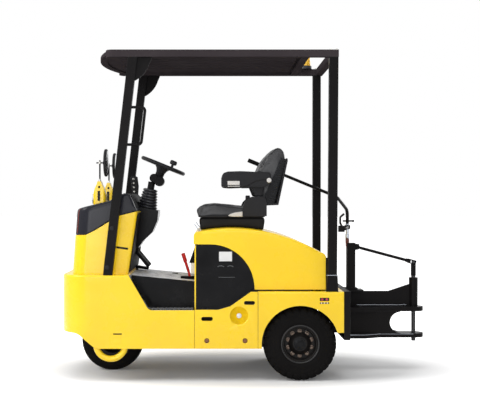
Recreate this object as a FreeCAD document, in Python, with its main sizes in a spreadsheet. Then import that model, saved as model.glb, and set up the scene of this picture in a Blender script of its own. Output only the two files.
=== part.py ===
import FreeCAD, Part
import math
import os
from types import SimpleNamespace

import Sketcher

# Three-wheel seated tow tractor. X points forward, Y to the driver's left, Z up, all in millimetres.
# The origin is on the ground, below the middle of the overall box.

doc = FreeCAD.newDocument("tow_tractor")
sheet = doc.addObject("Spreadsheet::Sheet", "dims")

sizes = {
    # lower body
    "body_half": 500, "skin": 4, "skirt_low": 211, "deck_top": 680, "nose_x": 1213, "nose_round": 190,
    "nose_low": 312, "rise_start": 956, "rise_knee": 1001, "rise_top": 1083, "edge_round": 12,
    "front_seam": 352, "side_seam": -55, "seam_gap": 3, "side_top": 575, "tail_x": -604, "tail_low": 313,
    "notch_top_x": 773, "notch_low_x": 654, "notch_round": 42, "step_top": 457, "step_in": 330,
    "flange_in": 446, "arch_gap": 13, "seat_gap": 0.3,
    # floor and bulkhead
    "floor_rear_top": 629, "floor_front_top": 671, "floor_front_x": 790, "floor_thick": 5,
    "bulkhead_thick": 9, "bulkhead_top": 868, "bulkhead_half": 440,
    # frame
    "rail_in": 270, "rail_wide": 50, "rail_low": 290, "rail_high": 350, "neck_low": 470, "neck_high": 520,
    "neck_rear": 600, "frame_front": 1185, "bridge_half": 150, "head_outer": 46,
    "rear_box_deep": 40, "rear_box_low": 265, "rear_box_half": 494, "outrigger_x": 240,
    # hood
    "hood_half": 438, "hood_front": 358, "hood_lip": 875, "hood_nose_top": 958, "hood_bow": 1149,
    "hood_tail": -497, "hood_low": 583, "hood_edge": 22,
    "cover_centre_x": 250, "cover_centre_top": 590, "cover_round": 280, "cover_gap": 5, "cover_low": 460,
    "hinge_x": -460, "hinge_height": 592, "hinge_pin": 8, "hinge_y": 300,
    # cowl
    "cowl_half": 400, "cowl_round": 95, "cowl_nose": 1150, "notch_half": 112, "notch_x": 762,
    # pillars and roof
    "pillar_in": 446, "pillar_out": 494, "pillar_wide": 58, "front_pillar_foot": 908,
    "front_pillar_head": 748, "rear_pillar_x": -543, "roof_low": 2078, "rail_tall": 46,
    "roof_corner_x": 905, "roof_bow": 95, "roof_sheet_end": -360, "cross_wide": 48, "roof_sheet": 3,
    "rib_pitch": 118, "rib_wide": 26, "rib_tall": 12,
    # wheels
    "rear_axle_x": -327, "rear_axle_height": 236, "rear_tyre": 236, "rear_tyre_wide": 132,
    "rear_wheel_y": 413, "rear_rim": 112, "rear_stub": 32, "axle_seat": 20,
    "front_axle_x": 918, "front_axle_height": 211, "front_tyre": 211, "front_tyre_wide": 152,
    "front_rim": 135, "front_dish": 86, "front_stub": 16, "running_fit": 0.05,
    # steering
    "trail": 20, "stem": 32, "crown_low": 430, "crown_high": 455, "fork_arm": 18, "fork_gap": 7,
    "fork_wide": 74, "stem_top": 590,
    "column_tilt": 22, "wheel_hub_x": 577, "wheel_hub_height": 1397, "steering_radius": 148,
    "steering_rim": 13, "boot_tilt": 10, "boot_x": 687, "boot_height": 1105, "boot_low": 68, "boot_high": 47,
    "boot_long": 135,
    # seat
    "seat_half": 250, "cushion_low": 1058, "cushion_top": 1135, "seat_front": 352, "guard_top": 1185,
    # hitch
    "pin_x": -1148, "pin": 14.5, "jaw_low": 250, "jaw_high": 401, "plate_low": 222, "plate_high": 431,
    "hitch_end": 65, "gusset_y": 56, "gusset_thick": 12, "web_thick": 12, "guide_outer": 30,
    "guide_top": 628, "mount_face": -646, "post_x": -716, "post_wide": 57, "post_low": 559,
    "post_top": 866, "arm_pivot_x": -758, "arm_pivot_height": 838, "arm_long": 397, "arm_rod": 10,
    "arm_drop": 15, "lever_x": -693, "lever_y": -340, "lever_rod": 9, "eye_height": 975, "latch_height": 1017,
    # masses
    "battery_long": 740, "battery_half": 260, "battery_top": 800,
}
for row, (alias, value) in enumerate(sizes.items(), start=1):
    sheet.set(f"A{row}", alias)
    sheet.set(f"B{row}", str(value))
    sheet.setAlias(f"B{row}", alias)
doc.recompute()


class Size:
    """A length that knows both its value and the sheet expression behind it."""

    def __init__(self, value, text):
        self.value = float(value)
        self.text = text

    def __add__(self, other):
        return Size(self.value + number(other), f"({self.text} + {text_of(other)})")

    def __radd__(self, other):
        return Size(number(other) + self.value, f"({text_of(other)} + {self.text})")

    def __sub__(self, other):
        return Size(self.value - number(other), f"({self.text} - {text_of(other)})")

    def __rsub__(self, other):
        return Size(number(other) - self.value, f"({text_of(other)} - {self.text})")

    def __mul__(self, other):
        return Size(self.value * number(other), f"({self.text} * {text_of(other)})")

    __rmul__ = __mul__

    def __truediv__(self, other):
        return Size(self.value / number(other), f"({self.text} / {text_of(other)})")

    def __neg__(self):
        return Size(-self.value, f"(0 - {self.text})")


def number(size):
    return size.value if isinstance(size, Size) else float(size)


def text_of(size):
    return size.text if isinstance(size, Size) else repr(float(size))


d = SimpleNamespace(**{alias: Size(sheet.get(alias), f"dims.{alias}") for alias in sizes})
nodes = []


def bind(thing, prop, size):
    thing.setExpression(prop, text_of(size))


def vector(x, y, z):
    return FreeCAD.Vector(number(x), number(y), number(z))


def node(thing, label):
    thing.Label = label
    nodes.append(thing)
    return thing


# ---- sketches and features ----

def new_sketch(body, plane, offset):
    """A sketch on one of the body's own origin planes, moved along that plane's normal."""
    sketch = body.newObject("Sketcher::SketchObject", "Outline")
    origin_plane = next(o for o in body.Origin.OriginFeatures if o.Role == f"{plane}_Plane")
    sketch.AttachmentSupport = [(origin_plane, "")]
    sketch.MapMode = "FlatFace"
    bind(sketch, "AttachmentOffset.Base.z", offset)
    return sketch


def pin_point(sketch, edge, end, x, y):
    """Ties one end of an edge to the sheet."""
    for kind, size in (("DistanceX", x), ("DistanceY", y)):
        index = sketch.addConstraint(Sketcher.Constraint(kind, -1, 1, edge, end, number(size)))
        bind(sketch, f"Constraints[{index}]", size)


def arc_between(start, end, radius):
    """The short arc from start to end; a positive radius keeps its centre on the left."""
    run = end - start
    middle = (start + end) * 0.5
    left = FreeCAD.Vector(-run.y, run.x, 0).normalize()
    reach = math.sqrt(radius * radius - run.Length * run.Length / 4)
    centre = middle + left * (reach if radius > 0 else -reach)
    first, last = (start, end) if radius > 0 else (end, start)
    angles = [math.atan2(p.y - centre.y, p.x - centre.x) for p in (first, last)]
    if angles[1] < angles[0]:
        angles[1] += 2 * math.pi
    circle = Part.Circle(centre, FreeCAD.Vector(0, 0, 1), abs(radius))
    return Part.ArcOfCircle(circle, angles[0], angles[1])


def draw(sketch, corners):
    """A closed outline; a corner's third number is the radius of the arc that leaves it."""
    first_edge = sketch.GeometryCount
    ends = []
    for i, corner in enumerate(corners):
        following = corners[(i + 1) % len(corners)]
        start, end = vector(corner[0], corner[1], 0), vector(following[0], following[1], 0)
        if len(corner) == 3:
            edge = sketch.addGeometry(arc_between(start, end, number(corner[2])), False)
            forward = number(corner[2]) > 0
            size = corner[2] if forward else -1 * corner[2]
            index = sketch.addConstraint(Sketcher.Constraint("Radius", edge, abs(number(corner[2]))))
            bind(sketch, f"Constraints[{index}]", size)
        else:
            edge = sketch.addGeometry(Part.LineSegment(start, end), False)
            forward = True
        ends.append((1, 2) if forward else (2, 1))
    for i, corner in enumerate(corners):
        after = (i + 1) % len(corners)
        sketch.addConstraint(Sketcher.Constraint(
            "Coincident", first_edge + i, ends[i][1], first_edge + after, ends[after][0]))
        pin_point(sketch, first_edge + i, ends[i][0], corner[0], corner[1])


def draw_circle(sketch, centre, radius):
    edge = sketch.addGeometry(
        Part.Circle(vector(centre[0], centre[1], 0), FreeCAD.Vector(0, 0, 1), number(radius)), False)
    pin_point(sketch, edge, 3, centre[0], centre[1])
    index = sketch.addConstraint(Sketcher.Constraint("Radius", edge, number(radius)))
    bind(sketch, f"Constraints[{index}]", radius)


def new_body(label):
    return node(doc.addObject("PartDesign::Body", label), label)


def pad(body, plane, corners, start, end):
    """Material between two places along the plane's axis. The XZ plane faces -Y."""
    sketch = new_sketch(body, plane, -1 * end if plane == "XZ" else start)
    draw(sketch, corners)
    feature = body.newObject("PartDesign::Pad", "Pad")
    feature.Profile = sketch
    bind(feature, "Length", end - start)
    doc.recompute()
    return feature


def pocket_of(body, sketch, length):
    before = body.Tip
    feature = body.newObject("PartDesign::Pocket", "Pocket")
    feature.Profile = sketch
    bind(feature, "Length", length)
    doc.recompute()
    if feature.Shape.isNull() or feature.Shape.Volume >= before.Shape.Volume:
        raise ValueError(f"a pocket of {body.Label} cuts nothing")
    return feature


def pocket(body, plane, corners, start, end):
    """Cuts between two places along the plane's axis."""
    sketch = new_sketch(body, plane, -1 * start if plane == "XZ" else end)
    draw(sketch, corners)
    return pocket_of(body, sketch, end - start)


def bore(body, plane, centre, radius, start, end):
    sketch = new_sketch(body, plane, -1 * start if plane == "XZ" else end)
    draw_circle(sketch, centre, radius)
    return pocket_of(body, sketch, end - start)


def boss(body, plane, centre, radius, start, end):
    sketch = new_sketch(body, plane, -1 * end if plane == "XZ" else start)
    draw_circle(sketch, centre, radius)
    feature = body.newObject("PartDesign::Pad", "Boss")
    feature.Profile = sketch
    bind(feature, "Length", end - start)
    doc.recompute()
    return feature


def prism(label, plane, corners, start, end):
    body = new_body(label)
    pad(body, plane, corners, start, end)
    return body


def nearest_edge(shape, point):
    def distance(edge):
        middle = edge.valueAt((edge.FirstParameter + edge.LastParameter) / 2)
        return middle.distanceToPoint(point)
    best = min(range(len(shape.Edges)), key=lambda i: distance(shape.Edges[i]))
    return f"Edge{best + 1}"


def round_off(body, radius, *points):
    """Fillets the edges whose middles lie nearest to the points."""
    base = body.Tip
    feature = body.newObject("PartDesign::Fillet", "Fillet")
    feature.Base = (base, sorted({nearest_edge(base.Shape, vector(*p)) for p in points}))
    bind(feature, "Radius", radius)
    doc.recompute()
    if feature.Shape.isNull() or "Invalid" in feature.State:
        raise ValueError(f"a fillet of {body.Label} failed")
    return feature


def turned(label, profile, base, direction=(0, 1, 0)):
    """A solid of revolution: the profile is given as (place along the axis, radius)."""
    body = new_body(label)
    sketch = new_sketch(body, "YZ", 0)
    draw(sketch, profile)
    feature = body.newObject("PartDesign::Revolution", "Revolution")
    feature.Profile = sketch
    feature.ReferenceAxis = (sketch, ["H_Axis"])
    feature.Angle = 360
    body.Placement = FreeCAD.Placement(
        vector(*base), FreeCAD.Rotation(FreeCAD.Vector(0, 1, 0), FreeCAD.Vector(*direction)))
    for axis, size in zip("xyz", base):
        bind(body, f"Placement.Base.{axis}", size)
    doc.recompute()
    return body


def rectangle(x_low, x_high, y_low, y_high):
    return [(x_low, y_low), (x_high, y_low), (x_high, y_high), (x_low, y_high)]


def both_sides(side, near, far):
    """Start and end along Y for a piece between two distances from the middle plane."""
    return (near, far) if side > 0 else (-1 * far, -1 * near)


def tube(label, points, radius, bend):
    """A round bar along straight runs joined by tangent arcs."""
    edges = []
    here = points[0]
    for before, corner, after in zip(points, points[1:], points[2:]):
        inward, outward = (before - corner).normalize(), (after - corner).normalize()
        half = inward.getAngle(outward) / 2
        setback = number(bend) / math.tan(half)
        start, end = corner + inward * setback, corner + outward * setback
        middle = corner + (inward + outward).normalize() * (number(bend) / math.sin(half) - number(bend))
        edges.append(Part.LineSegment(here, start).toShape())
        edges.append(Part.Arc(start, middle, end).toShape())
        here = end
    edges.append(Part.LineSegment(here, points[-1]).toShape())
    path = Part.Wire(edges)
    circle = Part.Wire(Part.Circle(points[0], points[1] - points[0], number(radius)).toShape())
    return path.makePipeShell([circle], True, False)


def shaped(label, shape):
    """A Part::Feature whose shape is made with Part's own functions."""
    thing = doc.addObject("Part::Feature", label)
    thing.Shape = shape
    return node(thing, label)


sides = (("left", 1), ("right", -1))


# ---- lower body ----

def front_body():
    """The yellow front shell: rounded nose, deck and side skirts, open below and at the steps."""
    def plan(inset):
        half, nose = d.body_half - inset, d.nose_x - inset
        corner = d.nose_round - inset
        return [(d.front_seam, -1 * half), (nose - corner, -1 * half, corner), (nose, corner - half),
                (nose, half - corner, corner), (nose - corner, half), (d.front_seam, half)]
    body = prism("front_body", "XY", plan(0), d.skirt_low, d.deck_top)
    round_off(body, d.edge_round, (d.nose_x, 0, d.deck_top))
    inner = new_sketch(body, "XY", d.deck_top - d.skin)
    draw(inner, plan(d.skin))
    pocket_of(body, inner, d.deck_top - d.skin - d.skirt_low)
    past = d.nose_x + 5
    under = d.skirt_low - 5
    pocket(body, "XZ", [(d.rise_start, d.skirt_low, 90), (d.rise_knee, d.skirt_low + 13),
                        (d.rise_top, d.nose_low - 20, -90), (d.rise_top + 48, d.nose_low - 3),
                        (past, d.nose_low), (past, under), (d.rise_start, under)],
           -1 * d.body_half - 1, d.body_half + 1)
    pocket(body, "XZ", notch_outline(d.front_seam - 1, d.deck_top + 1), -1 * d.body_half - 1,
           d.body_half + 1)
    return body


def skirt_hoops():
    """Yellow bar hoops that hang just inside the front skirts, one each side of the wheel."""
    reach, rod, middle, low, high = 93, 20, 888, 144, 300
    hoops = []
    for _, side in sides:
        y = side * (number(d.body_half - d.skin) - rod - number(d.seat_gap))
        corners = [(middle + reach, high), (middle + reach, low), (middle - reach, low),
                   (middle - reach, high)]
        hoops.append(tube("hoop", [FreeCAD.Vector(x, y, z) for x, z in corners], rod, reach - 1))
    return shaped("skirt_hoops", Part.makeCompound(hoops))


def notch_outline(rear, top):
    """The side cut over the step: flat tread, a rounded corner and a slanted front."""
    run = d.notch_top_x - d.notch_low_x
    rise = d.deck_top - d.step_top - 18
    over = (top - d.deck_top) / number(rise) * run
    return [(rear, d.step_top), (d.notch_low_x - 36, d.step_top, d.notch_round),
            (d.notch_low_x, d.step_top + 18), (d.notch_top_x + over, top), (rear, top)]


def floor_line(x):
    """Height of the floor's top at a place along X."""
    slope = (d.floor_front_top - d.floor_rear_top) / number(d.floor_front_x - d.front_seam)
    return d.floor_rear_top + (x - d.front_seam) * number(slope)


def floor_plate():
    rear, front = d.front_seam + d.seat_gap, d.floor_front_x
    deck_under = d.deck_top - d.skin
    body = prism("floor_plate", "XZ", [
        (rear, floor_line(rear) - d.floor_thick), (front, floor_line(front) - d.floor_thick),
        (front, deck_under), (front - d.skin, deck_under), (front - d.skin, floor_line(front - d.skin)),
        (rear, floor_line(rear))], -1 * d.step_in, d.step_in)
    return body


def step_well(name, side):
    """Black pressed well beside the floor: tread, slanted front and an inner riser."""
    rear, sheet_wall = d.front_seam + d.seat_gap, d.skin
    low = d.step_top - sheet_wall
    slant_x = d.notch_low_x + 3.5
    top_in = d.notch_top_x - 2.3
    deck_under = d.deck_top - sheet_wall
    near, far = both_sides(side, d.step_in + sheet_wall, d.body_half - d.skin)
    body = prism(name, "XZ", [
        (rear, low), (d.notch_low_x - 34, low, d.notch_round + sheet_wall), (slant_x, d.step_top + 16),
        (top_in + 4.6, deck_under), (top_in, deck_under),
        (d.notch_low_x, d.step_top + 18, -1 * d.notch_round),
        (d.notch_low_x - 36, d.step_top), (rear, d.step_top)], near, far)
    near, far = both_sides(side, d.step_in, d.step_in + sheet_wall)
    pad(body, "XZ", [
        (rear, low), (d.notch_low_x - 34, low, d.notch_round + sheet_wall), (slant_x, d.step_top + 16),
        (top_in, floor_line(top_in)), (rear, floor_line(rear))], near, far)
    return body


def bulkhead():
    """Upright plate between the footwell and the battery."""
    half, foot = d.bulkhead_half, d.rear_box_half
    low = d.rail_high
    return prism("seat_box_front", "YZ", [
        (-1 * foot, low), (foot, low), (foot, d.cover_low - 8), (half, d.cover_low - 8),
        (half, d.bulkhead_top),
        (-1 * half, d.bulkhead_top), (-1 * half, d.cover_low - 8), (-1 * foot, d.cover_low - 8)],
        d.front_seam - d.bulkhead_thick, d.front_seam)


def side_panel(name, side):
    """Flat yellow panel below the battery cover, with two slots and a dished socket."""
    front, rear = d.front_seam - d.seam_gap, d.side_seam + 1.5
    near, far = both_sides(side, d.body_half - d.skin, d.body_half)
    body = prism(name, "XZ", [
        (rear, d.skirt_low), (front, d.skirt_low), (front, d.cover_low), (200, d.cover_low), (123, 482),
        (-10, d.side_top), (rear, d.side_top)], near, far)
    for slot_x, slot_z, half_long, half_tall in ((0, 504, 35, 12), (271, 402, 37, 13)):
        low, high = slot_x - half_long + half_tall, slot_x + half_long - half_tall
        pocket(body, "XZ", [
            (low, slot_z - half_tall), (high, slot_z - half_tall, half_tall),
            (high + half_tall, slot_z, half_tall), (high, slot_z + half_tall),
            (low, slot_z + half_tall, half_tall), (low - half_tall, slot_z, half_tall)],
            near - 1, far + 1)
    bore(body, "XZ", (66, 421), 57, near - 1, far + 1)
    dish_near, dish_far = both_sides(side, d.body_half - 30, d.body_half - d.skin)
    boss(body, "XZ", (66, 421), 61, dish_near, dish_far)
    hollow_near, hollow_far = both_sides(side, d.body_half - 27, d.body_half + 1)
    bore(body, "XZ", (66, 421), 56, hollow_near, hollow_far)
    return body


def side_cover(name, side):
    """Black moulded cover over the battery's side, with the ledge along its foot."""
    front, thick = d.front_seam - d.bulkhead_thick - d.seat_gap, d.skin
    centre_x, centre_z, r = d.cover_centre_x, d.cover_centre_top, d.cover_round
    hood_side = d.hood_half
    near, far = both_sides(side, hood_side - thick, hood_side)
    body = prism(name, "XZ", [
        (front, d.cover_low), (front, centre_z + r), (centre_x, centre_z + r, r), (centre_x - r, centre_z),
        (-10, d.side_top), (123, 482), (200, d.cover_low)], near, far)
    near, far = both_sides(side, hood_side, d.body_half - d.skin)
    pad(body, "XZ", [
        (front, d.cover_low), (front, d.cover_low + thick), (199, d.cover_low + thick), (122, 486),
        (-10, d.side_top + 5), (-10, d.side_top), (123, 482), (200, d.cover_low)], near, far)
    return body


def rear_fender(name, side):
    """Yellow rear quarter: skin with the wheel arch, a top ledge and a rolled arch lip."""
    front, rear = d.side_seam - 1.5, d.tail_x
    near, far = both_sides(side, d.flange_in, d.body_half)
    body = prism(name, "XZ", rectangle(rear, front, d.skirt_low, d.side_top), near, far)
    edge_y = side * d.body_half
    round_off(body, d.edge_round, ((front + rear) / 2, edge_y, d.side_top))
    hollow_near, hollow_far = both_sides(side, d.flange_in - 1, d.body_half - d.skin)
    pocket(body, "XZ", rectangle(rear - 1, front + 1, d.skirt_low - 1, d.side_top - d.skin),
           hollow_near, hollow_far)
    lip_near, lip_far = both_sides(side, d.body_half - 24, d.body_half - d.skin)
    axle = (d.rear_axle_x, d.rear_axle_height)
    arch = d.rear_tyre + d.arch_gap
    boss(body, "XZ", axle, arch + d.skin, lip_near, lip_far)
    for x_low, x_high, top in ((rear - 1, d.rear_axle_x, d.tail_low),
                               (d.rear_axle_x - 5, front + 1, d.skirt_low)):
        pocket(body, "XZ", rectangle(x_low, x_high, -60, top), near - 1, far + 1)
    bore(body, "XZ", axle, arch, near - 1, far + 1)
    return body


def rear_frame():
    """Black weight box across the tail."""
    rear, front = d.tail_x - 2 - d.rear_box_deep, d.tail_x - 2
    body = prism("rear_frame", "YZ", rectangle(-1 * d.rear_box_half, d.rear_box_half, d.rear_box_low,
                                               d.side_top + 1), rear, front)
    round_off(body, 8, (rear, d.rear_box_half, 420), (rear, -1 * d.rear_box_half, 420))
    pocket(body, "YZ", rectangle(-1 * d.rear_box_half + 14, d.rear_box_half - 14, d.rear_box_low + 14,
                                 d.side_top - 13), rear + 20, front + 1)
    for y in (-285, 285):
        pad(body, "YZ", rectangle(y - 15, y + 15, d.rear_box_low + 10, d.side_top - 10), rear + 18, front)
    return body


def rear_deck():
    """Closing plate behind the hood."""
    return prism("rear_deck", "XY", rectangle(d.tail_x, -509, -1 * d.flange_in + 0.3, d.flange_in - 0.3),
                 d.side_top - d.skin, d.side_top)


front_body()
skirt_hoops()
floor_plate()
bulkhead()
for name, side in sides:
    step_well(f"step_well_{name}", side)
    side_panel(f"side_panel_{name}", side)
    side_cover(f"side_cover_{name}", side)
    rear_fender(f"rear_fender_{name}", side)
rear_frame()
rear_deck()


# ---- frame ----

def chassis_frame():
    """Two welded rails with a raised neck over the front wheel, cross members and a head tube."""
    tail = d.tail_x - 2
    rail = [(tail, d.rail_low), (d.neck_rear + 30, d.rail_low), (d.neck_rear + 80, d.neck_low),
            (d.frame_front, d.neck_low), (d.frame_front, d.neck_high), (d.neck_rear + 40, d.neck_high),
            (d.neck_rear - 10, d.rail_high), (tail, d.rail_high)]
    outer = d.rail_in + d.rail_wide
    body = prism("chassis_frame", "XZ", rail, d.rail_in, outer)
    pad(body, "XZ", rail, -1 * outer, -1 * d.rail_in)
    inner = d.rail_in + 2
    for x_low, x_high in ((-520, -470), (50, 90), (300, 342)):
        pad(body, "XY", rectangle(x_low, x_high, -1 * inner, inner), d.rail_low, d.rail_high)
    head_x = d.front_axle_x + d.trail
    for x_low, x_high in ((d.neck_rear + 85, d.neck_rear + 125), (d.frame_front - 40, d.frame_front)):
        pad(body, "XY", rectangle(x_low, x_high, -1 * inner, inner), d.neck_low, d.neck_high)
    pad(body, "XY", rectangle(d.neck_rear + 100, d.frame_front - 20, -1 * d.bridge_half, d.bridge_half),
        d.neck_high - 14, d.neck_high)
    pad(body, "XY", rectangle(d.frame_front - 42, d.nose_x - d.skin, -90, 90), d.neck_low + 10,
        d.neck_high - 10)
    boss(body, "XY", (head_x, 0), d.head_outer, d.neck_low, d.stem_top)
    bore(body, "XY", (head_x, 0), d.stem + d.running_fit, d.neck_low - 5, d.stem_top + 5)
    arm_far = d.body_half - d.skin
    for x_low, x_high in ((-30, 10), (d.outrigger_x, d.outrigger_x + 40)):
        for y_low, y_high in ((outer - 2, arm_far), (-1 * arm_far, 2 - outer)):
            pad(body, "XY", rectangle(x_low, x_high, y_low, y_high), d.rail_low + 10, d.rail_high - 10)
    return body


def battery_block():
    rear = d.front_seam - d.bulkhead_thick - 20 - d.battery_long
    body = prism("battery_block", "XY", rectangle(rear, rear + d.battery_long, -1 * d.battery_half - 30,
                                                  d.battery_half + 30), d.rail_high, d.battery_top)
    return body


def rear_axle():
    """Axle beam with its gear case, rail seats and wheel stubs."""
    inner = d.rear_wheel_y - d.rear_tyre_wide / 2 - 14
    stub = d.rear_stub
    end = d.rear_wheel_y + 30
    body = turned("rear_axle", [
        (-1 * end, 0), (end, 0), (end, stub), (inner, stub), (inner, 70), (inner - 12, 70), (inner - 12, 44),
        (90, 44), (78, 98), (40, 104), (-40, 104), (-78, 98), (-90, 44), (12 - inner, 44), (12 - inner, 70),
        (-1 * inner, 70), (-1 * inner, stub), (-1 * end, stub)],
        (d.rear_axle_x, 0, d.rear_axle_height))
    pad_top = d.rail_low - d.rear_axle_height
    for y in (d.rail_in, -1 * d.rail_in - d.rail_wide):
        pad(body, "XY", rectangle(-35, 35, y, y + d.rail_wide), d.axle_seat, pad_top)
    return body


def drive_motor():
    """Motor flanged to the front of the gear case, lying along the tractor."""
    start = d.rear_axle_x + 104.3
    return turned("drive_motor", [(0, 0), (250, 0), (250, 60), (240, 88), (30, 88), (24, 98), (0, 98)],
                  (start, 0, d.rear_axle_height), (1, 0, 0))


chassis_frame()
battery_block()
rear_axle()
drive_motor()


# ---- cowl and controls ----

cap_seam = [(d.cowl_nose - 12, 931), (1057, 935), (997, 965), (917, 1015), (842, 1059), (724, 1088)]


def cowl_notch(body, low, high):
    pocket(body, "XY", rectangle(600, d.notch_x, -1 * d.notch_half, d.notch_half), low, high)


def front_cowl():
    """Yellow cowl on the deck with rounded front corners."""
    half = d.cowl_half
    body = prism("front_cowl", "XZ", [(784, d.deck_top), (d.cowl_nose + 5, d.deck_top)] + cap_seam,
                 -1 * half, half)
    front = d.cowl_nose - 4
    round_off(body, d.cowl_round, (front, half, 800), (front, -1 * half, 800))
    round_off(body, 16, (754, half, 880), (754, -1 * half, 880))
    cowl_notch(body, 838, 1100)
    hollow = [(1050, 920), (985, 950), (820, 1040), (790, 1045), (812, d.deck_top - 1)]
    pocket(body, "XZ", hollow + [(1050, d.deck_top - 1)], 22 - half, half - 22)
    for reach, inset in ((d.cowl_nose - 25, d.cowl_round - 40), (d.cowl_nose - 5, d.cowl_round)):
        pocket(body, "XZ", hollow + [(reach, d.deck_top - 1), (reach - 17, 915)], inset - half, half - inset)
    return body


def cowl_cap():
    """Black moulded cap with the instrument pod."""
    half = d.cowl_half
    top = [(773, 1205), (825, 1205), (899, 1160), (976, 1141), (d.cowl_nose - 24, 1104)]
    seam = [(x, z) for x, z in cap_seam[1:5]]
    body = prism("cowl_cap", "XZ", [(d.cowl_nose - 12, 931.3)] + [(x, z + 0.3) for x, z in seam]
                 + [(724, 1088.3)] + top, -1 * half, half)
    front = d.cowl_nose - 18
    round_off(body, d.cowl_round, (front, half, 1020), (front, -1 * half, 1020))
    cowl_notch(body, 1000, 1300)
    return body


def leaning(tilt):
    """Direction of an axis that leans back from upright by an angle in degrees."""
    angle = math.radians(number(tilt))
    return FreeCAD.Vector(-math.sin(angle), 0, math.cos(angle))


def seat_line(x):
    """Height of the shroud's top, square to the bellows, at a place along X."""
    return d.boot_height + (x - d.boot_x) * math.tan(math.radians(number(d.boot_tilt)))


def column_cover():
    """Black shroud around the foot of the steering column."""
    front = d.notch_x - d.seat_gap
    return prism("column_cover", "XZ", [
        (front - 1, 838.3), (front, 845), (front, seat_line(front)), (604, seat_line(604)), (610, 1022),
        (644, 943), (705, 885), (738, 838.3)],
        -1 * d.notch_half + 1, d.notch_half - 1)


def steering_column():
    """Lower shaft, tilt joint with its clamp, and the upper neck below the wheel."""
    lower, upper = leaning(d.boot_tilt), leaning(d.column_tilt)
    foot = vector(d.boot_x, 0, d.boot_height) + lower * number(d.seat_gap)
    hub = vector(d.wheel_hub_x, 0, d.wheel_hub_height)
    shaft = Part.makeCylinder(24, 184, foot, lower)
    joint = Part.makeCylinder(30, 80, FreeCAD.Vector(639, -40, 1312), FreeCAD.Vector(0, 1, 0))
    clamp = Part.makeCylinder(34, 100, FreeCAD.Vector(602, -50, 1290), FreeCAD.Vector(0, 1, 0))
    round_parts = [bar.makeFillet(6, [edge for edge in bar.Edges if edge.BoundBox.YLength < 1])
                   for bar in (joint, clamp)]
    neck = Part.makeCylinder(30, 80, hub - upper * 109, upper)
    return shaped("steering_column", shaft.fuse(round_parts + [neck]))


def steering_boot():
    """Bellows round the lower shaft, in seven folds."""
    folds = 7
    pitch = number(d.boot_long) / folds
    outside = []
    for fold in range(folds):
        share = fold / folds
        radius = number(d.boot_low) * (1 - share) + number(d.boot_high) * share
        along = fold * pitch
        outside += [(along, radius - 7), (along + pitch * 0.3, radius), (along + pitch * 0.7, radius)]
    top = folds * pitch
    profile = [(top, 24.3), (0, 24.3)] + outside + [(top, number(d.boot_high) - 9)]
    face = Part.Face(Part.makePolygon([FreeCAD.Vector(0, along, r) for along, r in profile + profile[:1]]))
    solid = face.revolve(FreeCAD.Vector(0, 0, 0), FreeCAD.Vector(0, 1, 0), 360)
    boot = shaped("steering_boot", solid)
    lower = leaning(d.boot_tilt)
    boot.Placement = FreeCAD.Placement(vector(d.boot_x, 0, d.boot_height) + lower * number(d.seat_gap),
                                       FreeCAD.Rotation(FreeCAD.Vector(0, 1, 0), lower))
    return boot


def steering_wheel():
    """Rim, three spokes, hub and a spinner knob, turning on the column."""
    rim, mean = number(d.steering_rim), number(d.steering_radius)
    wheel = Part.makeTorus(mean, rim)
    wheel = wheel.fuse(Part.makeCone(34, 48, 40, FreeCAD.Vector(0, 0, -28)))
    for turn in (90, 210, 330):
        spoke = Part.makeBox(mean - 20, 26, 11, FreeCAD.Vector(20, -13, -11))
        spoke.rotate(FreeCAD.Vector(0, 0, 0), FreeCAD.Vector(0, 0, 1), turn)
        wheel = wheel.fuse(spoke)
    knob_place = FreeCAD.Vector(-0.44 * mean, 0.898 * mean, 0)
    wheel = wheel.fuse(Part.makeCylinder(9, 34, knob_place))
    knob = Part.makeCylinder(24, 30, knob_place + FreeCAD.Vector(0, 0, 28))
    wheel = wheel.fuse(knob.makeFillet(10, [edge for edge in knob.Edges if edge.BoundBox.ZLength < 1]))
    turning = shaped("steering_wheel", wheel)
    turning.Placement = FreeCAD.Placement(vector(d.wheel_hub_x, 0, d.wheel_hub_height), FreeCAD.Rotation(
        FreeCAD.Vector(0, 0, 1), leaning(d.column_tilt)))
    return turning


def pedals():
    """Accelerator and brake, hung from the column shroud."""
    solids = []
    for y in (-62, 62):
        arm = tube("arm", [FreeCAD.Vector(749, y, 837.5), FreeCAD.Vector(746, y, 790),
                           FreeCAD.Vector(700, y, 750)], 10, 24)
        plate = Part.makeBox(12, 70, 96, FreeCAD.Vector(0, -35, -48))
        plate.rotate(FreeCAD.Vector(0, 0, 0), FreeCAD.Vector(0, 1, 0), 38)
        plate.translate(FreeCAD.Vector(694, y, 750))
        solids.append(arm.fuse(plate))
    return shaped("pedals", Part.makeCompound(solids))


def parking_lever():
    """Red parking brake lever standing on the floor."""
    foot = number(floor_line(d.front_seam + 36))
    y = 190
    shaft = tube("shaft", [FreeCAD.Vector(388, y, foot + 6), FreeCAD.Vector(398, y, foot + 60),
                           FreeCAD.Vector(430, y, 790)], 8, 60)
    grip = Part.makeCylinder(13, 60, FreeCAD.Vector(417, y, 748), FreeCAD.Vector(32, 0, 100))
    base = Part.makeBox(60, 40, 14, FreeCAD.Vector(360, y - 20, number(floor_line(d.front_seam + 68)) + 0.3))
    return shaped("parking_lever", base.fuse(shaft).fuse(grip))


front_cowl()
cowl_cap()
column_cover()
steering_column()
steering_boot()
steering_wheel()
pedals()
parking_lever()


def headlamp(name, side):
    """Yellow bell-shaped lamp housing on the cap."""
    y = side * 280
    body = prism(name, "XZ", [(938, 1150.7), (976, 1141.3), (1021, 1130.2), (1021, 1196), (1011, 1236),
                              (997, 1266), (992, 1284), (970, 1284), (965, 1266), (950, 1236),
                              (938, 1196)], y - 42, y + 42)
    for x in (1020.5, 938.5):
        round_off(body, 18, (x, y + 42, 1165), (x, y - 42, 1165))
    return body


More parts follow.
